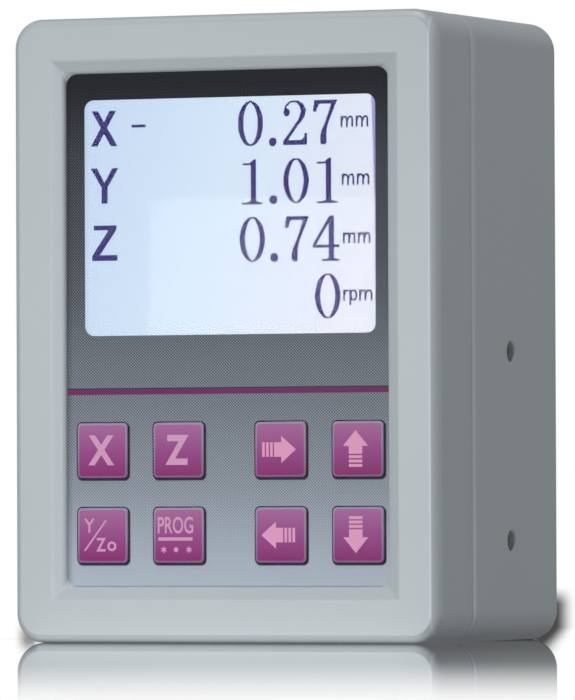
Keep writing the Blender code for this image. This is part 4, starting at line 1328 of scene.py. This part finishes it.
@dataclass(frozen=True)
class Legends:
    """Printed signs of the keys, between two depths; their sizes are in millimetres from the key's middle."""

    front: float
    back: float
    tip: float = 4.3
    base: float = 0.28
    head: float = 3.45
    tail: float = 1.85
    end: float = -1.72
    pitch: float = 1.10
    gap: float = 0.36
    bar_count: int = 3
    star_radius: float = 0.62

    def film(self, outline: Sequence[Place] | np.ndarray) -> Shape:
        """Give a film of ink inside an outline."""
        return slab(np.array(outline) / 1000, [], self.front, self.back)

    def bars(self, boxes: Sequence[Box]) -> Shape:
        """Give several upright boxes, each as (left, bottom, right, top)."""
        return together(self.film([(left, bottom), (right, bottom), (right, top), (left, top)])
                        for left, bottom, right, top in boxes)

    def arrow(self, turn: int, shift: Place) -> Shape:
        """Give an arrow with its trailing bars.

        Args:
            turn: Number of counter-clockwise quarter turns from pointing right.
            shift: Way from the key's middle to the arrow's.

        Returns:
            The arrow about the key's middle.
        """
        head = [(self.end, -self.tail), (self.base, -self.tail), (self.base, -self.head), (self.tip, 0),
                (self.base, self.head), (self.base, self.tail), (self.end, self.tail)]
        trail = [(self.end - self.pitch * step, -self.tail, self.end - self.pitch * (step - 1) - self.gap,
                  self.tail) for step in range(1, self.bar_count + 1)]
        shape = self.film(head) + self.bars(trail)
        cosine, sine = math.cos(turn * math.pi / 2), math.sin(turn * math.pi / 2)
        x, z = shape.points[:, 0].copy(), shape.points[:, 2].copy()
        shape.points[:, 0] = x * cosine - z * sine + shift[0] / 1000
        shape.points[:, 2] = x * sine + z * cosine + shift[1] / 1000
        return shape

    def star(self, x: float, z: float, swing: float = 0.26) -> Shape:
        """Give a small six-armed star: radius = mean - swing * cos(6 * angle)."""
        angles = np.linspace(0, 2 * np.pi, 48, endpoint=False)
        radius = self.star_radius + swing * np.cos(6 * angles + np.pi)
        return self.film(np.column_stack([x + radius * np.cos(angles), z + radius * np.sin(angles)]))

    def letters(self, text: str, box: Box, weight: float) -> Shape:
        """Set upright letters so that they fill a box.

        Args:
            text: The letters.
            box: Left, bottom, right and top of the box.
            weight: How far the strokes are thickened, as a share of the type's size.

        Returns:
            The letters as closed solids.
        """
        curve = bpy.data.curves.new("lettering", "FONT")
        curve.body, curve.offset, curve.extrude, curve.resolution_u = text, weight, 0.5, 5
        holder = linked("lettering", curve)
        shape = shape_of(settled(holder))
        bpy.data.objects.remove(holder)
        least = shape.points.min(axis=0)
        share = (shape.points - least) / (shape.points.max(axis=0) - least)
        left, bottom, right, top = np.array(box) / 1000
        shape.points = np.column_stack([left + share[:, 0] * (right - left),
                                        FRONT + self.back + share[:, 2] * (self.front - self.back),
                                        bottom + share[:, 1] * (top - bottom)])
        return shape

    def x(self) -> Shape:
        """Give the X."""
        return self.letters("X", (-3.95, -3.75, 3.35, 3.9), 0.035)

    def z(self) -> Shape:
        """Give the Z."""
        return self.letters("Z", (-3.6, -3.75, 2.9, 3.9), 0.035)

    def y_z0(self) -> Shape:
        """Give Y and Zo with a slash between them."""
        return (self.letters("Y", (-5.2, 0.75, -2.2, 4.3), 0.012)
                + self.letters("Z", (-1.8, -4.1, 0.95, -0.6), 0.025)
                + self.letters("o", (1.35, -4.0, 3.9, -1.5), 0.02)
                + self.film([(-5.3, -3.9), (-4.7, -3.9), (1.3, 3.9), (0.75, 3.9)]))

    def prog(self) -> Shape:
        """Give PROG, underlined, with three stars below."""
        return (self.letters("PROG", (-5.8, 0.45, 4.1, 4.75), 0.014) + self.bars([(-5.65, -1.36, 3.9, -0.5)])
                + self.star(-4.15, -3.65) + self.star(-0.7, -3.65, 0.10) + self.star(2.9, -3.65))


@dataclass(frozen=True)
class KeyPad:
    """Eight sprung keys with a lilac rim, a collar behind the panel and a stem, and their legends."""

    size: float = 0.0141
    corner: float = 0.0011
    gap: float = 0.0003
    soft: float = 0.0004
    face_inset: float = 0.0008
    face_corner: float = 0.00066
    collar: float = 0.0013
    collar_thickness: float = 0.0010
    collar_gap: float = 0.0008
    stem: float = 0.0016
    ink: float = 0.00002

    names = ("x", "z", "right", "up", "y_z0", "prog", "left", "down")
    arrows = {"right": (0, (0.0, 0.0)), "up": (1, (-0.6, 0.5)), "left": (2, (-1.0, 0.0)),
              "down": (3, (-0.6, -0.3))}

    @classmethod
    def places(cls) -> dict[str, Place]:
        """Give the middle of every key, by its name."""
        return {name: middle_of("key_" + name) for name in cls.names}

    @classmethod
    def holes(cls) -> list[np.ndarray]:
        """Give the edges of the openings that the keys stand in."""
        side = cls.size + 2 * cls.gap
        return [rounded_loop(side, side, cls.corner + cls.gap, place, 6) for place in cls.places().values()]

    def cap(self, name: str, place: Place) -> None:
        """Make one key: a profile of (inset, depth, corner) carried round it, closed at both ends."""
        face, end = depth_of("key_" + name), depth_of("key_" + name, 1)
        flange = depth_of("switch_" + name) - self.collar_gap
        soft = arc((self.soft, face + self.soft), self.soft, 270, 180, 6)
        rows = [(self.face_inset, face, self.face_corner), *((*point, self.corner) for point in soft),
                (0, flange - self.collar_thickness, self.corner),
                (-self.collar, flange - self.collar_thickness, self.gap), (-self.collar, flange, self.gap),
                (self.size / 2 - self.stem, flange, self.stem), (self.size / 2 - self.stem, end, self.stem)]
        grid = carried_round(np.array(rows), self.size, self.size, place, 8)
        add_piece("keycap_" + name, skin(grid, caps=True), KeyCap("purple_key", self.size), "key_" + name,
                  ["key_" + name],
                  unwrap=lambda points: (points[:, (0, 2)] - np.array(place)) / self.size + 0.5)

    def build(self) -> None:
        """Make every key and its legend."""
        letter_ink = LegendInk("letter_ink", srgb(222, 158, 200))
        arrow_ink = LegendInk("arrow_ink", srgb(238, 160, 204))
        for name, place in self.places().items():
            self.cap(name, place)
            face = depth_of("key_" + name)
            legends = Legends(face - self.ink, face + self.ink)
            drawn = {"x": legends.x, "z": legends.z, "y_z0": legends.y_z0, "prog": legends.prog}
            shape = legends.arrow(*self.arrows[name]) if name in self.arrows else drawn[name]()
            add_piece("legend_" + name, shape.moved(*place), arrow_ink if name in self.arrows else letter_ink,
                      "key_" + name)


class DotCanvas:
    """The screen's raster of dots, inked with strokes; places are in millimetres from the canvas's origin."""

    def __init__(self, left: float, bottom: float, columns: int, rows: int, pitch: float) -> None:
        """Lay out the dots' middles."""
        self.left, self.bottom, self.pitch = left, bottom, pitch
        self.x = left + pitch * (np.arange(columns) + 0.5)[None, :]
        self.z = bottom + pitch * (np.arange(rows) + 0.5)[:, None]
        self.ink = np.zeros((rows, columns), bool)
        self.origin: Place = (0.0, 0.0)

    def moved(self, points: Sequence[Place]) -> list[Place]:
        """Give points on the screen for points from the origin."""
        return [(self.origin[0] + x, self.origin[1] + z) for x, z in points]

    def stroke(self, points: Sequence[Place], widths: Sequence[float]) -> None:
        """Ink along a line whose width runs from point to point.

        A dot is inked where its distance to a segment is below half the width there, which is
        interpolated between the segment's ends.
        """
        points = self.moved(points)
        for (x0, z0), (x1, z1), w0, w1 in zip(points, points[1:], widths, widths[1:]):
            run, rise = x1 - x0, z1 - z0
            way = ((self.x - x0) * run + (self.z - z0) * rise) / max(run * run + rise * rise, 1e-9)
            share = np.clip(way, 0, 1)
            distance = np.hypot(self.x - x0 - share * run, self.z - z0 - share * rise)
            self.ink |= distance < (w0 + share * (w1 - w0)) / 2

    def bar(self, left: float, bottom: float, right: float, top: float) -> None:
        """Ink an upright box."""
        (left, bottom), (right, top) = self.moved([(left, bottom), (right, top)])
        self.ink |= (self.x > left) & (self.x < right) & (self.z > bottom) & (self.z < top)

    def area(self, *corners: Place) -> None:
        """Ink inside an outline: a dot is inside where an odd number of edges lie to its right."""
        inside = np.zeros_like(self.ink)
        corners = self.moved(corners)
        for (x0, z0), (x1, z1) in zip(corners, (*corners[1:], corners[0])):
            if z0 != z1:
                crossed = (z0 > self.z) != (z1 > self.z)
                inside ^= crossed & (self.x < x0 + (x1 - x0) * (self.z - z0) / (z1 - z0))
        self.ink |= inside

    def ring(self, middle: Place, outer: Place, inner: Place = (1e-6, 1e-6), power: float = 2.0) -> None:
        """Ink an ellipse with a pointed opening: |x / a| ** power + |z / b| ** power is above 1 inside it."""
        x, z = self.moved([middle])[0]
        body = np.hypot((self.x - x) / outer[0], (self.z - z) / outer[1]) < 1
        opening = np.abs((self.x - x) / inner[0]) ** power + np.abs((self.z - z) / inner[1]) ** power < 1
        self.ink |= body & ~opening

    def runs(self, front: float) -> Shape:
        """Turn every row's runs of inked dots into flat boxes, seen from the front."""
        padded = np.pad(self.ink, ((0, 0), (1, 1))).astype(np.int8)
        change = np.diff(padded, axis=1)
        row, start = np.nonzero(change == 1)
        end = np.nonzero(change == -1)[1]
        left, right = self.left + self.pitch * start, self.left + self.pitch * end
        low, high = self.bottom + self.pitch * row, self.bottom + self.pitch * (row + 1)
        depth = np.full(len(row), (FRONT + front) * 1000)
        corners = [(left, low), (right, low), (right, high), (left, high)]
        points = np.stack([np.column_stack([x, depth, z]) for x, z in corners], axis=1).reshape(-1, 3) / 1000
        return Shape(points, [np.arange(len(row) * 4).reshape(-1, 4)])


@dataclass(frozen=True)
class ReadOut:
    """What the screen shows: three axis letters with their positions, and a speed; lengths in millimetres."""

    pitch: float = 0.2447
    left: float = -40.5
    bottom: float = 79.2
    columns: int = 330
    rows: int = 243
    thick: float = 1.45
    thin: float = 0.42
    light: float = 0.5
    height: float = 11.5
    unit_height: float = 2.95
    m_width: float = 3.6
    m_pitch: float = 4.14

    def zero(self, canvas: DotCanvas) -> None:
        """Draw a tall 0 with heavy sides."""
        half = self.height / 2
        canvas.ring((3.5, half), (3.5, half), (3.5 - self.thick, half - self.thin), 1.75)

    def one(self, canvas: DotCanvas) -> None:
        """Draw a 1 with a slanted flag and a flared foot."""
        stem, end = 2.45, 2.45 + self.thick
        canvas.area((stem, 0), (end, 0), (end, self.height), (end - 0.45, self.height),
                    (stem, self.height - 0.75))
        canvas.area((0.15, 10.0), (stem + 0.3, 9.8), (stem + 0.3, 11.0), (stem - 0.35, 10.4), (0.15, 10.42))
        canvas.bar(0, 0, 5.6, self.thin)
        canvas.area((stem - 1.1, 0.3), (end + 1.1, 0.3), (end, 0.85), (stem, 0.85))

    def two(self, canvas: DotCanvas) -> None:
        """Draw a 2 with a ball, a heavy right bowl and a raised foot end."""
        bowl = [(0.55, 8.8), (0.95, 10.1), (1.9, 10.95), (3.1, 11.15), (4.3, 10.85), (5.2, 10.0), (5.65, 8.8),
                (5.4, 7.5), (4.6, 6.1)]
        canvas.stroke(bowl, [0.55, 0.5, 0.45, 0.45, 0.75, 1.2, self.thick, 1.35, 0.95])
        canvas.ring((1.05, 8.35), (0.88, 0.98))
        canvas.area((4.0, 6.2), (0, 0.95), (0, 0), (6.55, 0), (6.8, 3.0), (5.9, 3.0), (5.85, 2.1),
                    (5.0, 1.25), (1.4, 1.25), (5.1, 6.2))

    def seven(self, canvas: DotCanvas) -> None:
        """Draw a 7 with a dropped serif and a swelling stem."""
        canvas.area((0.42, 11.3), (0, 8.4), (1.0, 8.4), (1.1, 9.3), (1.9, 10.35), (5.0, 10.35), (3.4, 5.7),
                    (2.3, 3.5), (1.95, 2.0), (2.0, 0.5), (2.4, 0), (3.3, 0), (3.7, 0.5), (3.7, 3.4),
                    (4.15, 5.3), (5.75, 9.0), (6.7, 11.3))

    def four(self, canvas: DotCanvas) -> None:
        """Draw a 4 with a fine diagonal and a heavy stem."""
        stem, end = 4.38, 4.38 + self.thick
        canvas.bar(stem, 0, end, self.height)
        canvas.bar(0, 3.42, 7.4, 4.14)
        canvas.area((0, 4.1), (0, 3.45), (0.5, 3.45), (stem + 0.2, 9.75), (end, self.height),
                    (stem + 0.25, self.height))
        canvas.bar(2.5, 0, 7.4, self.thin)
        canvas.area((stem - 0.9, 0.3), (end + 0.9, 0.3), (end, 0.8), (stem, 0.8))

    def point(self, canvas: DotCanvas) -> None:
        """Draw the decimal point."""
        canvas.ring((1.05, 1.12), (1.08, 1.15))

    def minus(self, canvas: DotCanvas) -> None:
        """Draw a minus sign."""
        canvas.bar(0, 0, 4.04, 0.75)

    def axis_x(self, canvas: DotCanvas) -> None:
        """Draw a plain bold X."""
        canvas.area((0.15, 9.1), (1.95, 9.1), (7.5, 0), (5.65, 0))
        canvas.area((5.35, 9.1), (7.15, 9.1), (1.8, 0), (0, 0))

    def axis_y(self, canvas: DotCanvas) -> None:
        """Draw a plain bold Y."""
        canvas.area((0, 9.05), (1.75, 9.05), (3.9, 5.3), (6.1, 9.05), (7.85, 9.05), (4.7, 4.0), (4.7, 0),
                    (3.1, 0), (3.1, 4.0))

    def axis_z(self, canvas: DotCanvas) -> None:
        """Draw a plain bold Z."""
        canvas.area((0.4, 9.05), (6.75, 9.05), (6.75, 7.7), (2.15, 1.35), (7.1, 1.35), (7.1, 0), (0, 0),
                    (0, 1.25), (4.55, 7.7), (0.4, 7.7))

    def lines(self, canvas: DotCanvas, strokes: Sequence[Sequence[Place]], left: float, width: float) -> None:
        """Draw light strokes, given as shares of a box and kept inside it."""
        inset, run, rise = self.light / 2, width - self.light, self.unit_height - self.light
        for stroke in strokes:
            points = [(left + inset + share_x * run, inset + share_z * rise) for share_x, share_z in stroke]
            canvas.stroke(points, [self.light] * len(points))

    def letter_m(self, canvas: DotCanvas, left: float) -> None:
        """Draw a small m: three stems and two arches."""
        arch = [(0.05, 0.60), (0.12, 0.88), (0.27, 0.99), (0.40, 0.94), (0.5, 0.72), (0.5, 0.0)]
        second = [(share + 0.5, up) for share, up in arch]
        self.lines(canvas, [[(0, 0), (0, 1)], arch, second], left, self.m_width)

    def unit(self, canvas: DotCanvas) -> None:
        """Draw mm."""
        self.letter_m(canvas, 0)
        self.letter_m(canvas, self.m_pitch)

    def speed_unit(self, canvas: DotCanvas) -> None:
        """Draw rpm."""
        self.lines(canvas, [[(0, 0), (0, 1)], [(0, 0.6), (0.35, 0.92), (1, 0.98)]], 0, 1.3)
        turn = np.radians(np.linspace(180, -180, 17))
        bowl = [(0.5 + 0.5 * math.cos(a), 0.5 + 0.5 * math.sin(a)) for a in turn]
        self.lines(canvas, [bowl, [(0, 1), (0, -0.45)]], 1.7, 2.1)
        self.letter_m(canvas, 4.3)

    def draw(self) -> DotCanvas:
        """Ink the whole read-out, sign by sign, each at its own place."""
        canvas = DotCanvas(self.left, self.bottom, self.columns, self.rows, self.pitch)
        for draw_sign, x, z in (
                (self.axis_x, -39.05, 127.15), (self.minus, -27.6, 131.85), (self.zero, 2.23, 126.36),
                (self.point, 10.84, 126.2), (self.two, 14.74, 126.36), (self.seven, 23.05, 126.36),
                (self.axis_y, -39.15, 112.5), (self.one, 3.34, 111.61), (self.point, 11.0, 111.5),
                (self.zero, 14.82, 111.61), (self.one, 24.06, 111.61),
                (self.axis_z, -38.75, 97.9), (self.zero, 2.64, 96.91), (self.point, 11.18, 96.8),
                (self.seven, 15.12, 96.91), (self.four, 22.87, 96.91), (self.zero, 23.44, 82.25),
                (self.unit, 30.65, 130.64), (self.unit, 30.85, 115.98), (self.unit, 31.1, 101.14),
                (self.speed_unit, 31.3, 86.6)):
            canvas.origin = (x, z)
            draw_sign(canvas)
        return canvas


@dataclass(frozen=True)
class Screen:
    """Screen behind the foil's window: lens, metal frame, lit glass, light guide and driver board."""

    dots_in_front: float = 0.00006
    shift: float = 0.00133
    lens_corner: float = 0.0004

    def build(self) -> None:
        """Dress the screen's nodes and lay the read-out on the glass."""
        low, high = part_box("display_window")
        x, z = middle_of("display_window")
        half_width, half_height = FrontFoil.window_width / 2, FrontFoil.window_height / 2
        read_out = ReadOut()
        pitch = read_out.pitch / 1000
        outline = rounded_loop(high.x - low.x, high.z - low.z, self.lens_corner, (x, z), 4)
        lens = slab(outline, [], depth_of("display_window"), depth_of("display_window", 1))
        add_piece("lens", lens, ClearLens("clear_lens"), "case", ["display_window"])
        dress("lcd_glass", ScreenGlow("screen_glow", (x - half_width - self.shift, z - half_height),
                                      (x + half_width - self.shift, z + half_height), pitch))
        dress("lcd_bezel", CasePaint.FRAME_STEEL.value)
        dress("lcd_backlight", CasePaint.GUIDE.value)
        dress("lcd_board", CasePaint.BOARD.value)
        dots = read_out.draw().runs(depth_of("lcd_glass") - self.dots_in_front)
        add_piece("read_out", dots, ScreenDots("screen_dots", pitch), "case")


@dataclass(frozen=True)
class Sockets:
    """Five round sockets in the rear wall, with ridged wells and gold contacts."""

    nodes = ("sensor_socket_x", "sensor_socket_y", "sensor_socket_z", "sensor_socket_speed", "power_socket")

    neck: float = 0.0056
    neck_length: float = 0.0030
    well: float = 0.0044
    well_depth: float = 0.0080
    ridges: int = 4
    ridge: float = 0.00024
    ridge_pitch: float = 0.0008
    ridge_start: float = 0.0012
    bevel: float = 0.0003
    carrier: float = 0.0034
    carrier_height: float = 0.0030
    pin: float = 0.0004
    pin_sink: float = 0.0002
    pin_height: float = 0.0026
    pins: int = 6
    pin_circle: float = 0.0021
    power_pin: float = 0.00096

    def body(self, node: str) -> Shape:
        """Turn the housing: neck with a bevelled mouth, ridged well, contact carrier and shoulder."""
        low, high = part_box(node)
        floor, shoulder, mouth = (high.y - depth for depth in (self.well_depth, self.neck_length, self.bevel))
        top, radius = floor + self.carrier_height, (high.x - low.x) / 2
        first = high.y - self.ridge_start
        ridges = [(self.well - self.ridge * (step % 2), first - self.ridge_pitch / 2 * step)
                  for step in range(2 * self.ridges + 1)]
        profile = [(0, top), (self.carrier - self.bevel, top), (self.carrier, top - self.bevel),
                   (self.carrier, floor), (self.well, floor), *reversed(ridges), (self.well, mouth),
                   (self.well + self.bevel, high.y), (self.neck - self.bevel, high.y), (self.neck, mouth),
                   (self.neck, shoulder), (radius, shoulder), (radius, low.y), (0, low.y)]
        return turned(profile, middle_of(node), 40)

    def contacts(self, node: str) -> Shape:
        """Stand the contacts on the carrier: a circle of pins, or one thick pin for the power."""
        x, z = middle_of(node)
        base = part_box(node)[1].y - self.well_depth + self.carrier_height - self.pin_sink
        top = base + self.pin_height
        power = node == "power_socket"
        pins, radius, spread = (1, self.power_pin, 0.0) if power else (self.pins, self.pin, self.pin_circle)
        profile = [(0, base), (radius, base), (radius, top - radius / 2), (radius / 2, top), (0, top)]
        angles = [2 * math.pi * (index + 0.5) / pins for index in range(pins)]
        return together(turned(profile, (x + spread * math.cos(angle), z + spread * math.sin(angle)), 14)
                        for angle in angles)

    def build(self) -> None:
        """Make every socket and its contacts."""
        for node in self.nodes:
            add_piece(node + "_housing", self.body(node), CasePaint.SOCKET.value, "case",
                      [node])
            add_piece(node + "_contacts", self.contacts(node), CasePaint.CONTACT.value, "case")


@dataclass(frozen=True)
class Fasteners:
    """Case screws, board screws and the threaded side inserts."""

    corners = ("bottom_left", "bottom_right", "top_left", "top_right")
    levels = ("lower", "upper")
    inserts = ("side_insert_left_lower", "side_insert_left_upper", "side_insert_right_lower",
               "side_insert_right_upper")

    @classmethod
    def front_board_screws(cls) -> list[str]:
        """Give the screws that bite in the front shell."""
        return [*("lcd_screw_" + corner for corner in cls.corners),
                *("key_board_screw_" + level for level in cls.levels)]

    def build(self) -> None:
        """Dress the screws and inserts."""
        others = [kind + corner for kind in ("case_screw_", "main_board_screw_") for corner in self.corners]
        for node in (*others, *self.front_board_screws()):
            dress(node, CasePaint.SCREW_STEEL.value)
        for node in self.inserts:
            dress(node, CasePaint.BRASS.value)


@dataclass(frozen=True)
class Electronics:
    """Boards, chips, switches, headers and ribbon cables inside the case, and the seal in its seam."""

    dimple: float = 0.0016

    def build(self) -> None:
        """Dress every inner node."""
        switches = ["switch_" + name for name in KeyPad.names]
        for finish, nodes in ((CasePaint.SEAL, ["shell_seal"]), (CasePaint.SWITCH, switches),
                              (CasePaint.BOARD, ["key_board", "main_board"]),
                              (CasePaint.HEADER, ["lcd_header", "key_header"])):
            for node in nodes:
                dress(node, finish.value)
        for chip in ("processor", "regulator"):
            low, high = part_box(chip)
            dress(chip, Epoxy(chip + "_housing", (low.x + self.dimple, high.z - self.dimple)))
        for ribbon in ("lcd_ribbon", "key_ribbon"):
            dress(ribbon, Ribbon(ribbon + "_cores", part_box(ribbon)[0].x))
        for level in Fasteners.levels:
            node = "capacitor_" + level
            low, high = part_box(node)
            dress(node, Sleeve("capacitor_sleeve_" + level, middle_of(node), low.y, (high.x - low.x) / 2))


# ---------------------------------------------------------------- studio
@dataclass(frozen=True)
class Softbox:
    """A square lamp that points at the unit's middle; azimuth 0 stands in front, 90 at the right."""

    name: str
    azimuth: float
    elevation: float
    power: float
    distance: float = 2.6
    size: float = 1.2

    def build(self) -> None:
        """Hang the lamp."""
        lamp = bpy.data.lights.new(self.name, "AREA")
        lamp.shape, lamp.size, lamp.energy = "SQUARE", self.size, self.power
        holder = linked(self.name, lamp)
        turn, rise = math.radians(self.azimuth), math.radians(self.elevation)
        back = Vector((math.sin(turn) * math.cos(rise), -math.cos(turn) * math.cos(rise), math.sin(rise)))
        holder.location = Vector((0, 0, MIDDLE_Z)) + back * self.distance
        holder.rotation_euler = (-back).to_track_quat("-Z", "Y").to_euler()
        holder.visible_camera = False


@dataclass(frozen=True)
class ThrownShadow:
    """Painted soft shadow on the floor, as if the unit threw it straight back; its edges show at both sides.

    The bearing is the distance across the sight line over the distance along it, called away.  The shadow
    is full between the unit's outer bearings and fades beyond them.  Close in front, where the floor
    mirrors the unit, only the outer edges are kept, and the right edge bows in under the unit's corner.
    """

    under: Span = (2.13, 2.19)
    corner: float = 2.40
    bow: Span = (0.0026, 0.0045)
    spread: float = 0.0030
    hide_from: float = 0.30
    hide: Span = (0.0150, 0.0086)
    right_fade: Span = (0.0318, 0.0343)
    right_inner: Span = (0.0302, 0.0307)
    right_start: Span = (1.93, 2.0)
    right_end: Span = (2.9, 3.7)
    right_depth: float = 0.93
    left_fade: Span = (0.0310, 0.0328)
    left_inner: Span = (0.0296, 0.0306)
    left_start: Span = (1.93, 2.20)
    left_end: Span = (2.3, 2.65)
    left_depth: float = 0.70

    def held(self, across: Signal, away: Signal) -> Signal:
        """Give the share of light that is held back at a place.

        Args:
            across: Distance to the right of the sight line.
            away: Distance along the sight line.

        Returns:
            The share.
        """
        bearing = across / away
        left_bearing = 0.0 - bearing
        under = away.ease(*self.under)
        near = (self.corner - away).above(0.0)
        bowed = bearing + near * self.bow[0] + near * near * self.bow[1]
        fade = (bowed.ease(*self.right_fade) + (bowed + near * self.spread).ease(*self.right_fade)) / 2
        hidden = (bearing - (near - self.hide_from).above(0.0) * self.hide[1]
                  + (self.hide_from - near).above(0.0) * self.hide[0])
        right = (1 - fade) * hidden.ease(*self.right_inner).above(under)
        right = right * (bearing > 0.0) * (1 - away.ease(*self.right_end)) * self.right_depth
        left = (1 - left_bearing.ease(*self.left_fade)) * left_bearing.ease(*self.left_inner).above(under)
        left = left * (bearing < 0.0) * (1 - away.ease(*self.left_end)) * self.left_depth
        return right * away.ease(*self.right_start) + left * away.ease(*self.left_start)


@dataclass(frozen=True)
class Studio:
    """Camera, lamps, white surroundings and a polished white floor."""

    camera_place: tuple[float, float, float] = (0.871147, -1.986881, 0.034043)
    turn: float = 23.674
    tilt: float = 1.085
    roll: float = -0.224
    lens: float = 431.83
    bounce: float = 0.30
    least_bounce: float = 0.3
    front_glow: float = 0.75
    gloss: float = 0.3
    card_distance: float = 4.0
    card_half: float = 0.8
    card_heights: Span = (0.045, 1.0)
    floor_half: float = 15.0
    mirror_start: Span = (1.40, 1.90)
    mirror_end: Span = (2.19, 2.26)
    flat_view: Span = (0.90, 0.965)
    contact: float = 0.045
    beside_run: Span = (0.0, 0.010)
    front_sill: Span = (-0.002, 0.001)
    front_run: Span = (0.004, 0.014)
    front_side: Span = (0.050, 0.062)

    def build_camera(self) -> None:
        """Stand the camera at its place, turned about Z, tilted and rolled."""
        data = bpy.data.cameras.new("camera")
        data.lens, data.sensor_width, data.clip_start, data.clip_end = self.lens, 36.0, 0.05, 60.0
        place = Matrix.Translation(self.camera_place)
        for degrees, axis in ((self.turn, "Z"), (90 + self.tilt, "X"), (self.roll, "Z")):
            place = place @ Matrix.Rotation(math.radians(degrees), 4, axis)
        camera = linked("camera", data)
        camera.matrix_world = place
        bpy.context.scene.camera = camera

    def rays(self, graph: Graph) -> tuple[Signal, Signal]:
        """Give 1 for what the eye or a clear piece sees, and 1 for what a gloss sees."""
        camera, clear, gloss = (graph.node("ShaderNodeLightPath", result=path)
                                for path in ("Is Camera Ray", "Is Transmission Ray", "Is Glossy Ray"))
        return camera.above(clear), gloss

    def build_world(self) -> None:
        """Surround the unit with white for the eye, and with dim white for its glossy faces."""
        world = bpy.data.worlds.new("surroundings")
        world.use_nodes = True
        bpy.context.scene.world = world
        graph = Graph(world.node_tree, "ShaderNodeOutputWorld")
        seen, gloss = self.rays(graph)
        strength = seen + (1 - seen) * (self.gloss * gloss)
        graph.finish(graph.node("ShaderNodeBackground", inputs={"Color": WHITE, "Strength": strength}))

    @staticmethod
    def sheet(name: str, corners: Sequence[tuple[float, float, float]]) -> Graph:
        """Add a flat white sheet to the stage.

        Args:
            name: Name of the sheet.
            corners: Its four corners.

        Returns:
            The empty graph of its material.
        """
        shape = Shape(np.array(corners, float), [np.array([[0, 1, 2, 3]])])
        sheet = linked(name, shape.mesh(name))
        material, graph = blank_material("white_" + name)
        sheet.data.materials.append(material)
        return graph

    def build_card(self) -> None:
        """Stand a white card far behind the unit, for the floor's mirror only."""
        angle = math.radians(self.turn)
        middle = np.array([-math.sin(angle), math.cos(angle)]) * self.card_distance
        across = np.array([math.cos(angle), math.sin(angle)]) * self.card_half
        low, high = self.card_heights
        graph = self.sheet("card", [(*(middle + side * across), z)
                                    for side, z in ((-1, low), (1, low), (1, high), (-1, high))])
        seen, gloss = self.rays(graph)
        graph.finish(graph.emission(seen.above(gloss)))

    def floor_glow(self, x: Signal, y: Signal) -> Signal:
        """Give the light that the floor sends up: little under the unit, most just in front of it."""
        beside = (abs(x) - CASE_WIDTH / 2).above(abs(y) - CASE_DEPTH / 2).ease(*self.beside_run)
        ahead = FRONT - y
        front = ahead.ease(*self.front_sill) * (1 - ahead.ease(*self.front_run))
        front = front * (1 - abs(x).ease(*self.front_side))
        even = self.bounce * (self.least_bounce + (1 - self.least_bounce) * beside)
        return even * (1 - front) + front * self.front_glow

    def build_floor(self) -> None:
        """Lay a white floor that mirrors the unit close in front of it and carries its painted soft shadow.
        """
        graph = self.sheet("floor", [(x * self.floor_half, y * self.floor_half, 0)
                                     for x, y in ((-1, -1), (1, -1), (1, 1), (-1, 1))])
        _, x, y, _ = graph.axes()
        sine, cosine = math.sin(math.radians(self.turn)), math.cos(math.radians(self.turn))
        from_x, from_y = x - self.camera_place[0], y - self.camera_place[1]
        away, across = from_x * -sine + from_y * cosine, from_x * cosine + from_y * sine
        mask = away.ease(*self.mirror_start) * (1 - away.ease(*self.mirror_end))
        facing = graph.node("ShaderNodeLayerWeight", inputs={"Blend": 0.5}, result="Facing")
        flat = facing.ease(*self.flat_view)
        # painted contact shade: the white that the eye sees is dimmed by ambient occlusion near the unit
        openness = graph.node("ShaderNodeAmbientOcclusion", {"samples": 16}, {"Distance": self.contact},
                              result="AO")
        seen, gloss = self.rays(graph)
        bounce = self.floor_glow(x, y)
        white = graph.emission(seen * openness + (1 - seen) * (bounce + (self.gloss - bounce) * gloss))
        mirror = graph.node("ShaderNodeBsdfGlossy", inputs={"Color": WHITE, "Roughness": 0.0})
        polished = graph.node("ShaderNodeMixShader", inputs={0: mask * flat, 1: white, 2: mirror})
        # the painted thrown shadow darkens what the eye sees
        held = ThrownShadow().held(across, away) * flat * seen
        graph.finish(graph.node("ShaderNodeMixShader", inputs={0: held, 1: polished, 2: graph.emission(0.0)}))

    def build(self) -> None:
        """Set up the whole studio."""
        self.build_camera()
        self.build_world()
        self.build_card()
        self.build_floor()
        for lamp in (Softbox("front_lamp", -20, 5, 17.9), Softbox("near_lamp", 15, 5, 5.4),
                     Softbox("top_lamp", -5, 80, 30.5), Softbox("high_lamp", 75, 40, 6.1),
                     Softbox("rear_lamp", 120, 5, 9.5), Softbox("low_lamp", -12, -7, 0.71, 0.42, 0.2)):
            lamp.build()
        bpy.context.scene.view_settings.view_transform = "Standard"
        LOG.info("studio is ready")


def main() -> None:
    """Build the studio and every sub-assembly in order."""
    logging.basicConfig(level=logging.INFO, format="%(name)s: %(message)s")
    for part in (Studio(), FrontShell(), RearShell(), FrontFoil(), KeyPad(), Screen(), Sockets(), Fasteners(),
                 Electronics()):
        part.build()


if __name__ == "__main__":
    main()
